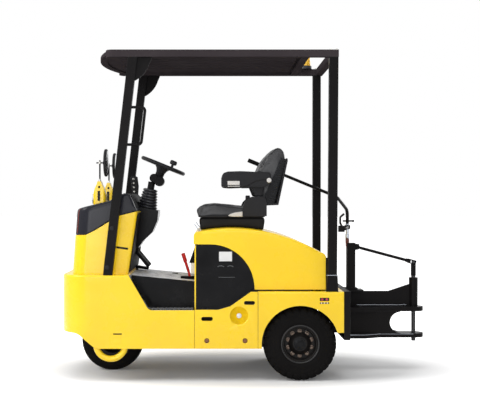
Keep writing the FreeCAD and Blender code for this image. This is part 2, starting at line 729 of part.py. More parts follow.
def mirror(name, side):
    """Round mirror head on a stalk that stands on the lamp housing."""
    y, height, forward = side * 280, 1407, FreeCAD.Vector(1, 0, 0)
    head = Part.makeCylinder(91, 20, FreeCAD.Vector(930, y, height), forward)
    head = head.makeFillet(8, [edge for edge in head.Edges if edge.BoundBox.XLength < 1])
    stalk = Part.makeCylinder(4.5, 140, FreeCAD.Vector(981, y, 1284.3))
    arm = Part.makeCylinder(4.5, 58, FreeCAD.Vector(946, y, height), forward)
    clamp = Part.makeCylinder(11, 12, FreeCAD.Vector(949, y, height), forward)
    return shaped(name, head.fuse([stalk, arm, clamp]))


for name, side in sides:
    headlamp(f"headlamp_{name}", side)
    mirror(f"mirror_{name}", side)


# ---- pillars and roof ----

def front_pillar(name, side):
    """Raked front post with a curved brace under the roof rail."""
    half = d.pillar_wide / 2
    near, far = both_sides(side, d.pillar_in, d.pillar_out)
    head, foot = d.front_pillar_head, d.front_pillar_foot
    body = prism(name, "XZ", [(foot - half, d.deck_top), (foot + half, d.deck_top), (head + half, d.roof_low),
                              (head - half, d.roof_low)], near, far)
    near, far = both_sides(side, d.pillar_in + 20, d.pillar_in + 28)
    pad(body, "XZ", [(head - half - 96, d.roof_low), (head - half - 78, d.roof_low - 42, 190),
                     (head - half + 12, d.roof_low - 150), (head - half + 40, d.roof_low - 150),
                     (head - half + 30, d.roof_low)], near, far)
    return body


def rear_pillar(name, side):
    """Upright rear post on a flared foot."""
    half = d.pillar_wide / 2
    near, far = both_sides(side, d.pillar_in, d.pillar_out)
    x, foot = d.rear_pillar_x, d.side_top
    return prism(name, "XZ", [(x - half - 9, foot), (x + half + 9, foot), (x + half + 4, foot + 100),
                              (x + half, foot + 101), (x + half, d.roof_low), (x - half, d.roof_low),
                              (x - half, foot + 101), (x - half - 4, foot + 100)], near, far)


def roof_frame():
    """Side rails, bowed front member and two cross members in one welded frame."""
    rear = d.rear_pillar_x - d.pillar_wide / 2
    out, inside = d.pillar_out, d.pillar_in
    top = d.roof_low + d.rail_tall
    bow = number(d.roof_bow)
    radius = (number(out) ** 2 + bow ** 2) / (2 * bow)
    body = prism("roof_frame", "XY", [(rear, -1 * out), (d.roof_corner_x, -1 * out, radius),
                                      (d.roof_corner_x, out), (rear, out)], d.roof_low, top)
    round_off(body, 38, (d.roof_corner_x, out, (d.roof_low + top) / 2),
              (d.roof_corner_x, -1 * out, (d.roof_low + top) / 2))
    bow_end = rectangle(d.roof_corner_x - 36, d.roof_corner_x + bow + 60, -1 * inside, inside)
    pocket(body, "XY", bow_end, d.roof_low - 1, d.roof_low + 15)
    pocket(body, "XY", bow_end, d.roof_low + 38, top + 1)
    pocket(body, "XY", roof_opening(0), d.roof_low - 1, top + 1)
    pocket(body, "XY", rectangle(rear + d.cross_wide, d.roof_sheet_end - 25, -1 * inside, inside),
           d.roof_low - 1, top + 1)
    return body


def roof_opening(inset):
    inside = d.pillar_in - inset
    bow = number(d.roof_bow)
    radius = (number(d.pillar_out) ** 2 + bow ** 2) / (2 * bow) - 48 - number(inset)
    rear = d.roof_sheet_end + 25 + inset
    return [(rear, -1 * inside), (d.roof_corner_x - 32 - inset, -1 * inside, radius),
            (d.roof_corner_x - 32 - inset, inside), (rear, inside)]


def roof_panel():
    """Roof sheet inside the frame, stiffened by pressed ribs along its underside."""
    low = d.roof_low + 24
    body = prism("roof_panel", "XY", roof_opening(0.3), low, low + d.roof_sheet)
    ribs = 7
    first = -1 * (ribs - 1) / 2 * d.rib_pitch
    wide, tall = d.rib_wide / 2, d.rib_tall
    rear, front = d.roof_sheet_end + 40, d.roof_corner_x - 60
    rib = pad(body, "YZ", [(first - wide, low), (first + wide, low), (first + wide - 6, low - tall),
                           (first - wide + 6, low - tall)], rear, front)
    pattern = body.newObject("PartDesign::LinearPattern", "Ribs")
    pattern.Originals = [rib]
    axis = next(o for o in body.Origin.OriginFeatures if o.Role == "Y_Axis")
    pattern.Direction = (axis, [""])
    bind(pattern, "Length", (ribs - 1) * d.rib_pitch)
    pattern.Occurrences = ribs
    body.Tip = pattern
    doc.recompute()
    return body


def grab_handle():
    """D-shaped hand grip on the driver's front post."""
    y = number(d.pillar_in + d.pillar_wide / 2 - 5)
    lean = (number(d.front_pillar_foot) - number(d.front_pillar_head)) / number(d.roof_low - d.deck_top)
    ends = []
    for height in (1757, 1517):
        post_rear = (number(d.front_pillar_head) + lean * (number(d.roof_low) - height)
                     - number(d.pillar_wide) / 2)
        ends.append(FreeCAD.Vector(post_rear - 1.3, y, height))
    out = FreeCAD.Vector(-88, 0, 0)
    return shaped("grab_handle", tube("grip", [ends[0], ends[0] + out, ends[1] + out, ends[1]], 9, 24))


def beacon():
    """Amber warning lamp on a black foot."""
    top = d.roof_low + d.rail_tall
    return turned("beacon", [(0.3, 0), (112, 0), (112, 16), (104, 30), (30, 38), (22, 38), (22, 44),
                             (0.3, 44)],
                  (-449, -1 * d.pillar_in - 4, top), (0, 0, 1))


for name, side in sides:
    front_pillar(f"front_pillar_{name}", side)
    rear_pillar(f"rear_pillar_{name}", side)
grab_handle()
roof_frame()
roof_panel()
beacon()


# ---- hood and seat ----

def battery_hood():
    """Yellow hood: a bowed shell, open below, with two hinge tabs at the tail."""
    half, wall = d.hood_half, d.skin
    r = d.cover_round + d.cover_gap
    level = d.cover_centre_top
    body = prism("battery_hood", "XZ", [
        (d.hood_tail, d.hood_low), (d.cover_centre_x - r, d.hood_low), (d.cover_centre_x - r, level, -1 * r),
        (d.cover_centre_x, level + r), (d.hood_front, d.hood_lip), (d.hood_front, 928, 30),
        (d.hood_front - 30, d.hood_nose_top, d.hood_bow), (-468, 823, 40), (d.hood_tail, 790)],
        -1 * half, half)
    round_off(body, d.hood_edge, (-64, half, 966), (-64, -1 * half, 966))
    for drop, side_wall in ((wall, d.hood_edge), (d.hood_edge, wall)):
        pocket(body, "XZ", [
            (d.hood_tail + wall, 480), (d.hood_front - wall, 480), (d.hood_front - wall, 926 - drop),
            (d.hood_front - 30, d.hood_nose_top - drop, d.hood_bow - drop), (-466, 823 - drop),
            (d.hood_tail + wall, 790 - drop)], side_wall - half, half - side_wall)
    for y in (-1 * d.hinge_y, d.hinge_y):
        pad(body, "XZ", rectangle(d.hood_tail + wall - 0.5, d.hinge_x + 14, d.hinge_height - 14,
                                  d.hinge_height + 40), y - 4, y + 4)
        bore(body, "XZ", (d.hinge_x, d.hinge_height), d.hinge_pin + d.running_fit, y - 5, y + 5)
    return body


def hood_hinge(name, side):
    """Two ears and a pin, on a stand that rises from the frame rail."""
    y = side * d.hinge_y
    low = d.rail_high
    ahead, behind = d.hinge_x + 16, d.hinge_x - 14
    body = prism(name, "XZ", [(d.hinge_x - 60, low), (d.hinge_x - 10, low), (ahead, d.hinge_height - 20),
                              (ahead, d.hinge_height + 14), (behind, d.hinge_height + 14),
                              (behind, d.hinge_height - 20)], y - 17, y + 17)
    pocket(body, "XZ", rectangle(d.hinge_x - 100, d.hinge_x + 60, 480, 700), y - 9, y + 9)
    boss(body, "XZ", (d.hinge_x, d.hinge_height), d.hinge_pin, y - 17, y + 17)
    return body


def seat_base():
    """Suspension box that sits on the crown of the hood."""
    front, rear = 326, -115
    bow = d.hood_bow + 0.3
    half = 195
    top = d.cushion_low - 12.3
    body = prism("seat_base", "XZ", [(rear, 957.6), (rear, top), (front, top), (front, 959.5, bow)],
                 -half, half)
    round_off(body, 16, (front, half, 1000), (front, -half, 1000), (rear, half, 1000), (rear, -half, 1000))
    return body


def seat_cushion():
    half = d.seat_half - 40
    low, top, front = d.cushion_low, d.cushion_top, d.seat_front
    body = prism("seat_cushion", "XZ", [
        (-84, low), (front - 24, low), (front, low + 34), (front - 24, top - 12), (front - 130, top),
        (-40, top - 26), (-84, top - 20)], -1 * half, half)
    round_off(body, 18, (front - 12, half, top - 35), (front - 12, -1 * half, top - 35))
    return body


def seat_shell():
    """Black moulded pan and back of the seat, with the two hip guards."""
    low, half = d.cushion_low - 12, d.seat_half
    body = prism("seat_shell", "XZ", [
        (330, low), (330, low + 11.7), (-86, low + 11.7), (-100, 1139.7), (-190, 1139.7), (-254.6, 1425),
        (-257, 1441), (-264, 1438), (-266, 1424), (-203, 1128), (-116, 1124), (-112, low)],
        25 - half, half - 25)
    guard = [(-124, low + 8), (30, low + 8), (34, 1120), (22, 1146), (-2, 1170), (-44, d.guard_top),
             (-100, d.guard_top), (-118, d.guard_top - 16), (-124, d.guard_top - 40)]
    for start in (-1 * half, half - 39):
        pad(body, "XZ", guard, start, start + 39)
    return body


def seat_backrest():
    body = prism("seat_backrest", "XZ", [
        (-145, 1142), (-92, 1150), (-58, 1200), (-58, 1365), (-112, 1440, 260), (-168, 1492), (-198, 1518),
        (-226, 1514), (-246, 1482), (-254, 1424), (-190, 1142)], -208, 208)
    round_off(body, 26, (-212, 208, 1516), (-212, -208, 1516))
    return body


def armrest(name, side):
    """Padded arm on an upright that stands on the hip guard."""
    near, far = both_sides(side, 216, 244)
    body = prism(name, "XZ", [(-98, d.guard_top + 0.3), (-46, d.guard_top + 0.3), (-20, 1250), (-20, 1300),
                              (-112, 1300)], near, far)
    near, far = both_sides(side, 228, 290)
    pad(body, "XZ", [(-154, 1300), (-60, 1288), (20, 1247), (120, 1243), (164, 1247), (175, 1260),
                     (175, 1322), (164, 1340), (138, 1350), (52, 1353), (-146, 1344)], near, far)
    return body


battery_hood()
for name, side in sides:
    hood_hinge(f"hood_hinge_{name}", side)
seat_base()
seat_cushion()
seat_shell()
seat_backrest()
for name, side in sides:
    armrest(f"armrest_{name}", side)


# ---- wheels and fork ----

def tyre(name, base, outer, wide, seat):
    """Tyre section with rounded shoulders, seated on its rim."""
    half, shoulder = wide / 2, 22
    crown = 6
    return turned(name, [
        (-0.82 * half, seat), (0.82 * half, seat), (half, seat + 20), (half, outer - shoulder, ),
        (half - shoulder * 0.7, outer - crown), (0 * half, outer), (shoulder * 0.7 - half, outer - crown),
        (-1 * half, outer - shoulder), (-1 * half, seat + 20)], base)


def rear_rim(name, side):
    """Pressed rim with flanges, a dished disc and a hub that runs on the axle stub."""
    half = d.rear_tyre_wide / 2
    seat, stub = d.rear_rim, d.rear_stub + d.running_fit
    flange = half * 0.82
    profile = [(side * place, radius) for place, radius in [
        (flange, seat - 8), (flange, seat), (-1 * flange, seat), (-1 * flange, seat - 8),
        (12 - half, seat - 10), (half * -0.1, seat - 10), (half * 0, 76), (half * -0.21, 60),
        (half * -0.45, 58), (half * -0.45, stub), (44, stub), (44, 46), (30, 60), (16, 76), (18, seat - 10)]]
    if side < 0:
        profile = profile[::-1]
    return turned(name, profile, (d.rear_axle_x, side * d.rear_wheel_y, d.rear_axle_height))


def front_rim():
    """Cast black wheel with a deep dish each side."""
    half = d.front_tyre_wide / 2
    seat, dish, stub = d.front_rim, d.front_dish, d.front_stub + d.running_fit
    edge = half * 0.9
    return turned("front_rim", [
        (edge, dish + 6), (edge, seat), (-1 * edge, seat), (-1 * edge, dish + 6), (10 - edge, dish),
        (-12, dish - 8), (-12, 48), (-1 * half, 40), (-1 * half, stub), (half, stub), (half, 40), (12, 48),
        (12, dish - 8), (edge - 10, dish)], (d.front_axle_x, 0, d.front_axle_height))


def fork():
    """Steering fork: stem, crown, two arms and the axle bolt."""
    x, axle_x, axle_z = d.front_axle_x + d.trail, d.front_axle_x, d.front_axle_height
    inside = d.front_tyre_wide / 2 + d.fork_gap
    outside = inside + d.fork_arm
    wide = d.fork_wide / 2
    arm = [(axle_x - wide, axle_z), (axle_x + wide, axle_z), (x + wide + 12, d.crown_high),
           (x - wide - 12, d.crown_high)]
    body = prism("fork", "XZ", arm, inside, outside)
    pad(body, "XZ", arm, -1 * outside, -1 * inside)
    for near, far in ((inside, outside), (-1 * outside, -1 * inside)):
        boss(body, "XZ", (axle_x, axle_z), wide, near, far)
    crown = rectangle(x - wide - 12, x + wide + 12, -1 * inside - 1, inside + 1)
    pad(body, "XY", crown, d.crown_low, d.crown_high)
    boss(body, "XZ", (axle_x, axle_z), d.front_stub, -1 * outside - 10, outside + 10)
    boss(body, "XY", (x, 0), d.head_outer - 2, d.crown_high - 1, d.neck_low - d.seat_gap)
    boss(body, "XY", (x, 0), d.stem, d.crown_high, d.stem_top + 12)
    return body


fork()
tyre("front_tyre", (d.front_axle_x, 0, d.front_axle_height), d.front_tyre, d.front_tyre_wide, d.front_rim)
front_rim()
for name, side in sides:
    tyre(f"rear_tyre_{name}", (d.rear_axle_x, side * d.rear_wheel_y, d.rear_axle_height), d.rear_tyre,
         d.rear_tyre_wide, d.rear_rim)
    rear_rim(f"rear_rim_{name}", side)


# ---- hitch ----

def hitch_bracket():
    """Jaw plates on side gussets, a centre web and the pin's guide tube."""
    face, pin_x, end = d.mount_face, d.pin_x, d.hitch_end
    tip = pin_x
    def plan(root, half):
        return [(face - 12, -1 * root), (face - 12, root), (face - 150, root), (face - 260, half),
                (tip, half, half), (tip - half, 0, half), (tip, -1 * half), (face - 260, -1 * half),
                (face - 150, -1 * root)]
    body = prism("hitch_bracket", "YZ", rectangle(-150, 150, d.plate_low, 548), face - 14, face)
    pad(body, "XY", plan(120, end), d.plate_low, d.jaw_low)
    pad(body, "XY", plan(120, end), d.jaw_high, d.plate_high)
    mouth, mouth_z = pin_x + 102, (d.jaw_low + d.jaw_high) / 2
    for y in (d.gusset_y, -1 * d.gusset_y - d.gusset_thick):
        pad(body, "XZ", [(face - 12, d.jaw_low - 2), (face - 12, d.jaw_high + 2), (mouth, d.jaw_high + 2),
                         (mouth, d.jaw_high - 3, -76), (mouth + 72, mouth_z, -76), (mouth, d.jaw_low + 3),
                         (mouth, d.jaw_low - 2)], y, y + d.gusset_thick)
    half_web = d.web_thick / 2
    pad(body, "XZ", [(face - 12, d.plate_high - 2), (face - 12, 546), (face - 150, 546), (face - 160, 535),
                     (-974, 535), (pin_x + 29, 583), (pin_x + 29, d.plate_high - 2)], -1 * half_web, half_web)
    pad(body, "XY", rectangle(face - 150, face - 12, -62, 62), 534, d.post_low - 12.3)
    boss(body, "XY", (pin_x, 0), d.guide_outer, d.plate_high - 2, d.guide_top)
    bore(body, "XY", (pin_x, 0), d.pin + d.running_fit, d.plate_low - 2, d.guide_top + 2)
    return body


def release_post():
    """Upright tube on a foot plate, with the two ears of the arm's pivot."""
    half = d.post_wide / 2
    body = prism("release_post", "XY", rectangle(d.post_x - half, d.post_x + half, -1 * half, half),
                 d.post_low - 1, d.post_top)
    pad(body, "XY", rectangle(d.post_x - half - 14, d.post_x + half + 14, -1 * half - 14, half + 14),
        d.post_low - 12, d.post_low)
    for y in (8, -16):
        pad(body, "XZ", [(d.post_x - half + 2, d.arm_pivot_height - 22),
                         (d.post_x - half + 2, d.post_top - 6),
                         (d.arm_pivot_x - 14, d.post_top - 8), (d.arm_pivot_x - 16, d.arm_pivot_height - 12)],
            y, y + 8)
    boss(body, "XZ", (d.arm_pivot_x, d.arm_pivot_height), 7, -16, 16)
    return body


arm_slope = math.tan(math.radians(number(d.arm_drop)))


def lift_arm():
    """Rod from the post to the pin, with an eye at the pivot and two slotted cheeks at the pin."""
    body = new_body("lift_arm")
    reach = number(d.arm_long)
    boss(body, "XZ", (0, 0), 12.5, -7, 7)
    boss(body, "YZ", (0, 0), d.arm_rod, -reach + 38, -30)
    pad(body, "XZ", rectangle(-36, 0, -9, 9), -7, 7)
    pad(body, "XZ", rectangle(-reach + 26, -reach + 44, -13, 13), -15, 15)
    for y in (5, -13):
        pad(body, "XZ", rectangle(-reach - 24, -reach + 30, -15, 15), y, y + 8)
        pocket(body, "XZ", rectangle(-reach - 14, -reach + 14, -8, 8), y - 1, y + 9)
    bore(body, "XZ", (0, 0), 7.05, -8, 8)
    body.Placement = FreeCAD.Placement(
        vector(d.arm_pivot_x, 0, d.arm_pivot_height),
        FreeCAD.Rotation(FreeCAD.Vector(0, 1, 0), -number(d.arm_drop)))
    bind(body, "Placement.Base.x", d.arm_pivot_x)
    bind(body, "Placement.Base.z", d.arm_pivot_height)
    doc.recompute()
    return body


def hitch_pin():
    """Drawbar pin with a flat link and a cross pin at its head."""
    x = d.pin_x
    cross_z = d.arm_pivot_height - (d.arm_pivot_x - x) * arm_slope
    body = new_body("hitch_pin")
    boss(body, "XY", (x, 0), d.pin, 193, d.guide_top + 12)
    pad(body, "XZ", [(x - 12, d.guide_top + 10), (x + 12, d.guide_top + 10), (x + 12, cross_z + 12),
                     (x - 12, cross_z + 12)], -3, 3)
    boss(body, "XZ", (x, cross_z), 6, -15, 15)
    return body


def lever_bracket():
    """Clamp on the left rear post, with the arm that guides the release rod and the hook that parks it."""
    eye_x, z, rod = number(d.lever_x), number(d.eye_height), number(d.lever_rod)
    y = number(d.pillar_in + d.pillar_out) / 2
    face = number(d.rear_pillar_x - d.pillar_wide / 2) - 0.3
    clamp = Part.makeBox(38, 44, 40, FreeCAD.Vector(face - 38, y - 22, z - 18))
    clamp = clamp.makeFillet(6, [edge for edge in clamp.Edges if edge.BoundBox.XMax < face - 30])
    arm = tube("arm", [FreeCAD.Vector(face - 20, y, z), FreeCAD.Vector(face - 46, y, z),
                       FreeCAD.Vector(eye_x, 18, z)], 8, 22)
    hook = tube("hook", [FreeCAD.Vector(face - 28, y, z + 8), FreeCAD.Vector(face - 11, y, z + 38),
                         FreeCAD.Vector(face - 11, y, z + 76), FreeCAD.Vector(face - 36, y, z + 98)], 6.5, 16)
    eye = Part.makeCylinder(20, 26, FreeCAD.Vector(eye_x, 0, z - 13))
    hole = Part.makeCylinder(rod + 0.3, 40, FreeCAD.Vector(eye_x, 0, z - 20))
    solid = clamp.fuse([arm, hook, eye]).cut(hole)
    return shaped("lever_bracket", solid)


def release_lever():
    """Long hand rod beside the seat, led across the tail and down to the post."""
    x, y, rod = number(d.lever_x), number(d.lever_y), number(d.lever_rod)
    points = [FreeCAD.Vector(-20, y, 1450), FreeCAD.Vector(x + 29, y, 1184), FreeCAD.Vector(x, 0, 1090),
              FreeCAD.Vector(x, 0, number(d.post_top) + 0.3)]
    lever = tube("rod", points, rod, 70)
    grip = Part.makeCylinder(15, 110, points[0], points[1] - points[0])
    latch = FreeCAD.Vector(x - 40, 0, number(d.latch_height))
    handle = Part.makeCylinder(4, 68, latch, FreeCAD.Vector(1, 0, 0)).fuse(Part.makeSphere(8, latch))
    return shaped("release_lever", lever.fuse([grip, handle]))


hitch_bracket()
release_post()
lift_arm()
hitch_pin()
lever_bracket()
release_lever()


# ---- checks and export ----

doc.recompute()
for thing in doc.Objects:
    if {"Invalid", "Error"} & set(thing.State):
        raise ValueError(f"{thing.Name} ({thing.Label}) is {thing.State}")
os.makedirs("parts", exist_ok=True)
for thing in nodes:
    shape = thing.Shape
    if shape.isNull() or not shape.isValid():
        raise ValueError(f"{thing.Label} has no valid shape")
for thing in nodes:
    thing.Shape.exportStep(f"parts/{thing.Label}.step")
print(len(nodes), "nodes written")
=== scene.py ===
import math

import bmesh
import bpy
from mathutils import Matrix, Vector, noise
from mathutils.bvhtree import BVHTree


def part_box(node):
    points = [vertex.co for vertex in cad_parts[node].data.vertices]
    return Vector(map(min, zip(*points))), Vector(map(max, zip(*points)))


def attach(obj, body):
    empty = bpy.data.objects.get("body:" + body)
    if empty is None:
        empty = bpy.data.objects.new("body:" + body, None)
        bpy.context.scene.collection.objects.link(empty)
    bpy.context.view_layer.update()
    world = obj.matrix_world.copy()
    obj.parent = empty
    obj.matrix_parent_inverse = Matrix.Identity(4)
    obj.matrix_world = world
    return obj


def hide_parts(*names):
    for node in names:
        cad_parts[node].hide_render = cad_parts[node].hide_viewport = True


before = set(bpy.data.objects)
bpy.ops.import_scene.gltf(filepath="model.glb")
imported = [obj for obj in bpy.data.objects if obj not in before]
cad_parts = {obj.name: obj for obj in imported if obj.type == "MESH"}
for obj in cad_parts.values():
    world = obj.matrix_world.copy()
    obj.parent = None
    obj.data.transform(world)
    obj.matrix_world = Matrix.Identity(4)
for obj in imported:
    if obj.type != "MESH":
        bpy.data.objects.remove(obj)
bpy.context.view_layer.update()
scene = bpy.context.scene
sides = (("left", 1), ("right", -1))
ways = (1, -1)
print("frame loaded,", len(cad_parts), "pieces")


# node helpers: a socket is linked, a plain value is set
def setInputs(tree, node, wires):
    for socket, value in wires.items():
        if isinstance(value, bpy.types.NodeSocket):
            tree.links.new(value, node.inputs[socket])
        else:
            node.inputs[socket].default_value = value


def addNode(tree, kind, wires=None, **settings):
    made = tree.nodes.new(kind)
    for name, value in settings.items():
        setattr(made, name, value)
    setInputs(tree, made, wires or {})
    return made


def math2(tree, operation, first, second=0.0, clamp=False):
    return addNode(tree, "ShaderNodeMath", {0: first, 1: second}, operation=operation, use_clamp=clamp).outputs[0]


def opaque(color):
    return (*color, 1)


def blendColors(tree, amount, first, second):
    pair = [opaque(color) if isinstance(color, tuple) else color for color in (first, second)]
    return addNode(tree, "ShaderNodeMix", {0: amount, 6: pair[0], 7: pair[1]}, data_type="RGBA").outputs[2]


def spread(tree, value, low, high, outLow=0.0, outHigh=1.0):
    return addNode(tree, "ShaderNodeMapRange", {"Value": value, "From Min": low, "From Max": high,
                                                "To Min": outLow, "To Max": outHigh}).outputs[0]


def objectPlace(tree):
    return addNode(tree, "ShaderNodeTexCoord").outputs["Object"]


def noiseOf(tree, place, scale, detail=2.0, rough=0.5, output="Fac"):
    wires = {"Vector": place, "Scale": scale, "Detail": detail, "Roughness": rough}
    return addNode(tree, "ShaderNodeTexNoise", wires).outputs[output]


def cellsOf(tree, place, scale, feature):
    return addNode(tree, "ShaderNodeTexVoronoi", {"Vector": place, "Scale": scale}, feature=feature)


def bumpOf(tree, strength, depth, height, **wires):
    return addNode(tree, "ShaderNodeBump", {"Strength": strength, "Distance": depth, "Height": height,
                                            **wires}).outputs[0]


def newGroup(name, inputs, outputs):
    group = bpy.data.node_groups.new(name, "ShaderNodeTree")
    for label, value in inputs.items():
        group.interface.new_socket(label, in_out="INPUT", socket_type="NodeSocketFloat").default_value = value
    for label, kind in outputs.items():
        group.interface.new_socket(label, in_out="OUTPUT", socket_type=kind)
    return group, group.nodes.new("NodeGroupInput").outputs, group.nodes.new("NodeGroupOutput")


# effects that several finishes share
# the edge mask serves two marks: chips of worn paint, and a lighter tint on rounded edges that is a painted
# highlight
def makeEdgeWearAndHighlight():
    group, given, result = newGroup("edgeWearAndHighlight", {"Radius": 0.003, "Amount": 0.5, "Breakup": 60.0}, {
        "Edge": "NodeSocketFloat", "Chips": "NodeSocketFloat", "Normal": "NodeSocketVector"})
    soft = addNode(group, "ShaderNodeBevel", {"Radius": given["Radius"]}, samples=6).outputs[0]
    flat = addNode(group, "ShaderNodeNewGeometry").outputs["Normal"]
    turned = addNode(group, "ShaderNodeVectorMath", {0: soft, 1: flat}, operation="DOT_PRODUCT").outputs["Value"]
    edge = spread(group, turned, 0.995, 0.86)
    mottle = noiseOf(group, objectPlace(group), given["Breakup"], 6.0, 0.65)
    rubbed = math2(group, "MULTIPLY", edge, spread(group, mottle, 0.5, 0.68), True)
    chips = math2(group, "MULTIPLY", rubbed, given["Amount"], True)
    setInputs(group, result, {"Edge": edge, "Chips": chips, "Normal": soft})
    return group


def makeRoadDust():
    group, given, result = newGroup("roadDust", {"Height": 0.5, "Amount": 0.4}, {
        "Dust": "NodeSocketFloat", "Smudge": "NodeSocketFloat"})
    place = objectPlace(group)
    height = addNode(group, "ShaderNodeSeparateXYZ", {0: place}).outputs["Z"]
    low = spread(group, math2(group, "DIVIDE", height, given["Height"]), 1.0, 0.0)
    cloud = noiseOf(group, place, 7.0, 8.0, 0.6)
    speck = noiseOf(group, place, 160.0, 3.0)
    dust = math2(group, "MULTIPLY", math2(group, "MULTIPLY", low, spread(group, cloud, 0.35, 0.75), True),
                 spread(group, speck, 0.3, 0.7))
    setInputs(group, result, {"Dust": math2(group, "MULTIPLY", dust, given["Amount"], True),
                              "Smudge": spread(group, cloud, 0.35, 0.65)})
    return group


def makeFineGrain():
    group, given, result = newGroup("fineGrain", {"Scale": 400.0, "Cells": 0.0}, {
        "Height": "NodeSocketFloat", "Tone": "NodeSocketFloat"})
    place = objectPlace(group)
    peel = noiseOf(group, place, given["Scale"], 4.0, 0.55)
    cell = cellsOf(group, place, given["Scale"], "SMOOTH_F1").outputs["Distance"]
    mixed = addNode(group, "ShaderNodeMix", {0: given["Cells"], 2: peel, 3: cell}, data_type="FLOAT").outputs[0]
    setInputs(group, result, {"Height": mixed, "Tone": spread(group, noiseOf(group, place, 3.5, 5.0), 0.3, 0.7)})
    return group


edgeWearAndHighlight = makeEdgeWearAndHighlight()
roadDust = makeRoadDust()
fineGrain = makeFineGrain()


def newMaterial(name):
    material = bpy.data.materials.new(name)
    material.use_nodes = True
    return material, material.node_tree, material.node_tree.nodes["Principled BSDF"]


def placeGroup(tree, group, values):
    return addNode(tree, "ShaderNodeGroup", values, node_tree=group).outputs


# settings that a coated finish has unless it names its own
plainCoat = dict(chips=0.1, chipColor=(0.25, 0.24, 0.23), edgeTint=0.15, dust=0.1, dustHeight=0.6,
                 dustColor=(0.3, 0.27, 0.23), cells=0.0, bump=0.2, depth=0.0004, metallic=0.0, coat=0.0,
                 coatRough=0.08, specular=0.5)


def coat(color, shade, rough, grainScale, **changes):
    return dict(plainCoat, color=color, shade=shade, rough=rough, grainScale=grainScale, **changes)


def coatedFinish(name, spec):
    material, tree, shader = newMaterial(name)
    edge = placeGroup(tree, edgeWearAndHighlight, {"Radius": 0.003, "Amount": spec["chips"], "Breakup": 60.0})
    dust = placeGroup(tree, roadDust, {"Height": spec["dustHeight"], "Amount": spec["dust"]})
    grain = placeGroup(tree, fineGrain, {"Scale": spec["grainScale"], "Cells": spec["cells"]})
    color = blendColors(tree, grain["Tone"], spec["color"], spec["shade"])
    # rounded edges are tinted towards the edge colour: a painted highlight
    color = blendColors(tree, math2(tree, "MULTIPLY", edge["Edge"], spec["edgeTint"]), color,
                        spec.get("edgeColor", spec["color"]))
    color = blendColors(tree, edge["Chips"], color, spec["chipColor"])
    color = blendColors(tree, dust["Dust"], color, spec["dustColor"])
    rough = math2(tree, "ADD", spread(tree, dust["Smudge"], 0.0, 1.0, *spec["rough"]),
                  math2(tree, "MULTIPLY", dust["Dust"], 0.5), True)
    bump = bumpOf(tree, spec["bump"], spec["depth"], grain["Height"], Normal=edge["Normal"])
    setInputs(tree, shader, {"Base Color": color, "Roughness": rough, "Normal": bump, "Metallic": spec["metallic"],
                             "Coat Weight": spec["coat"], "Coat Roughness": spec["coatRough"],
                             "Specular IOR Level": spec["specular"]})
    return material
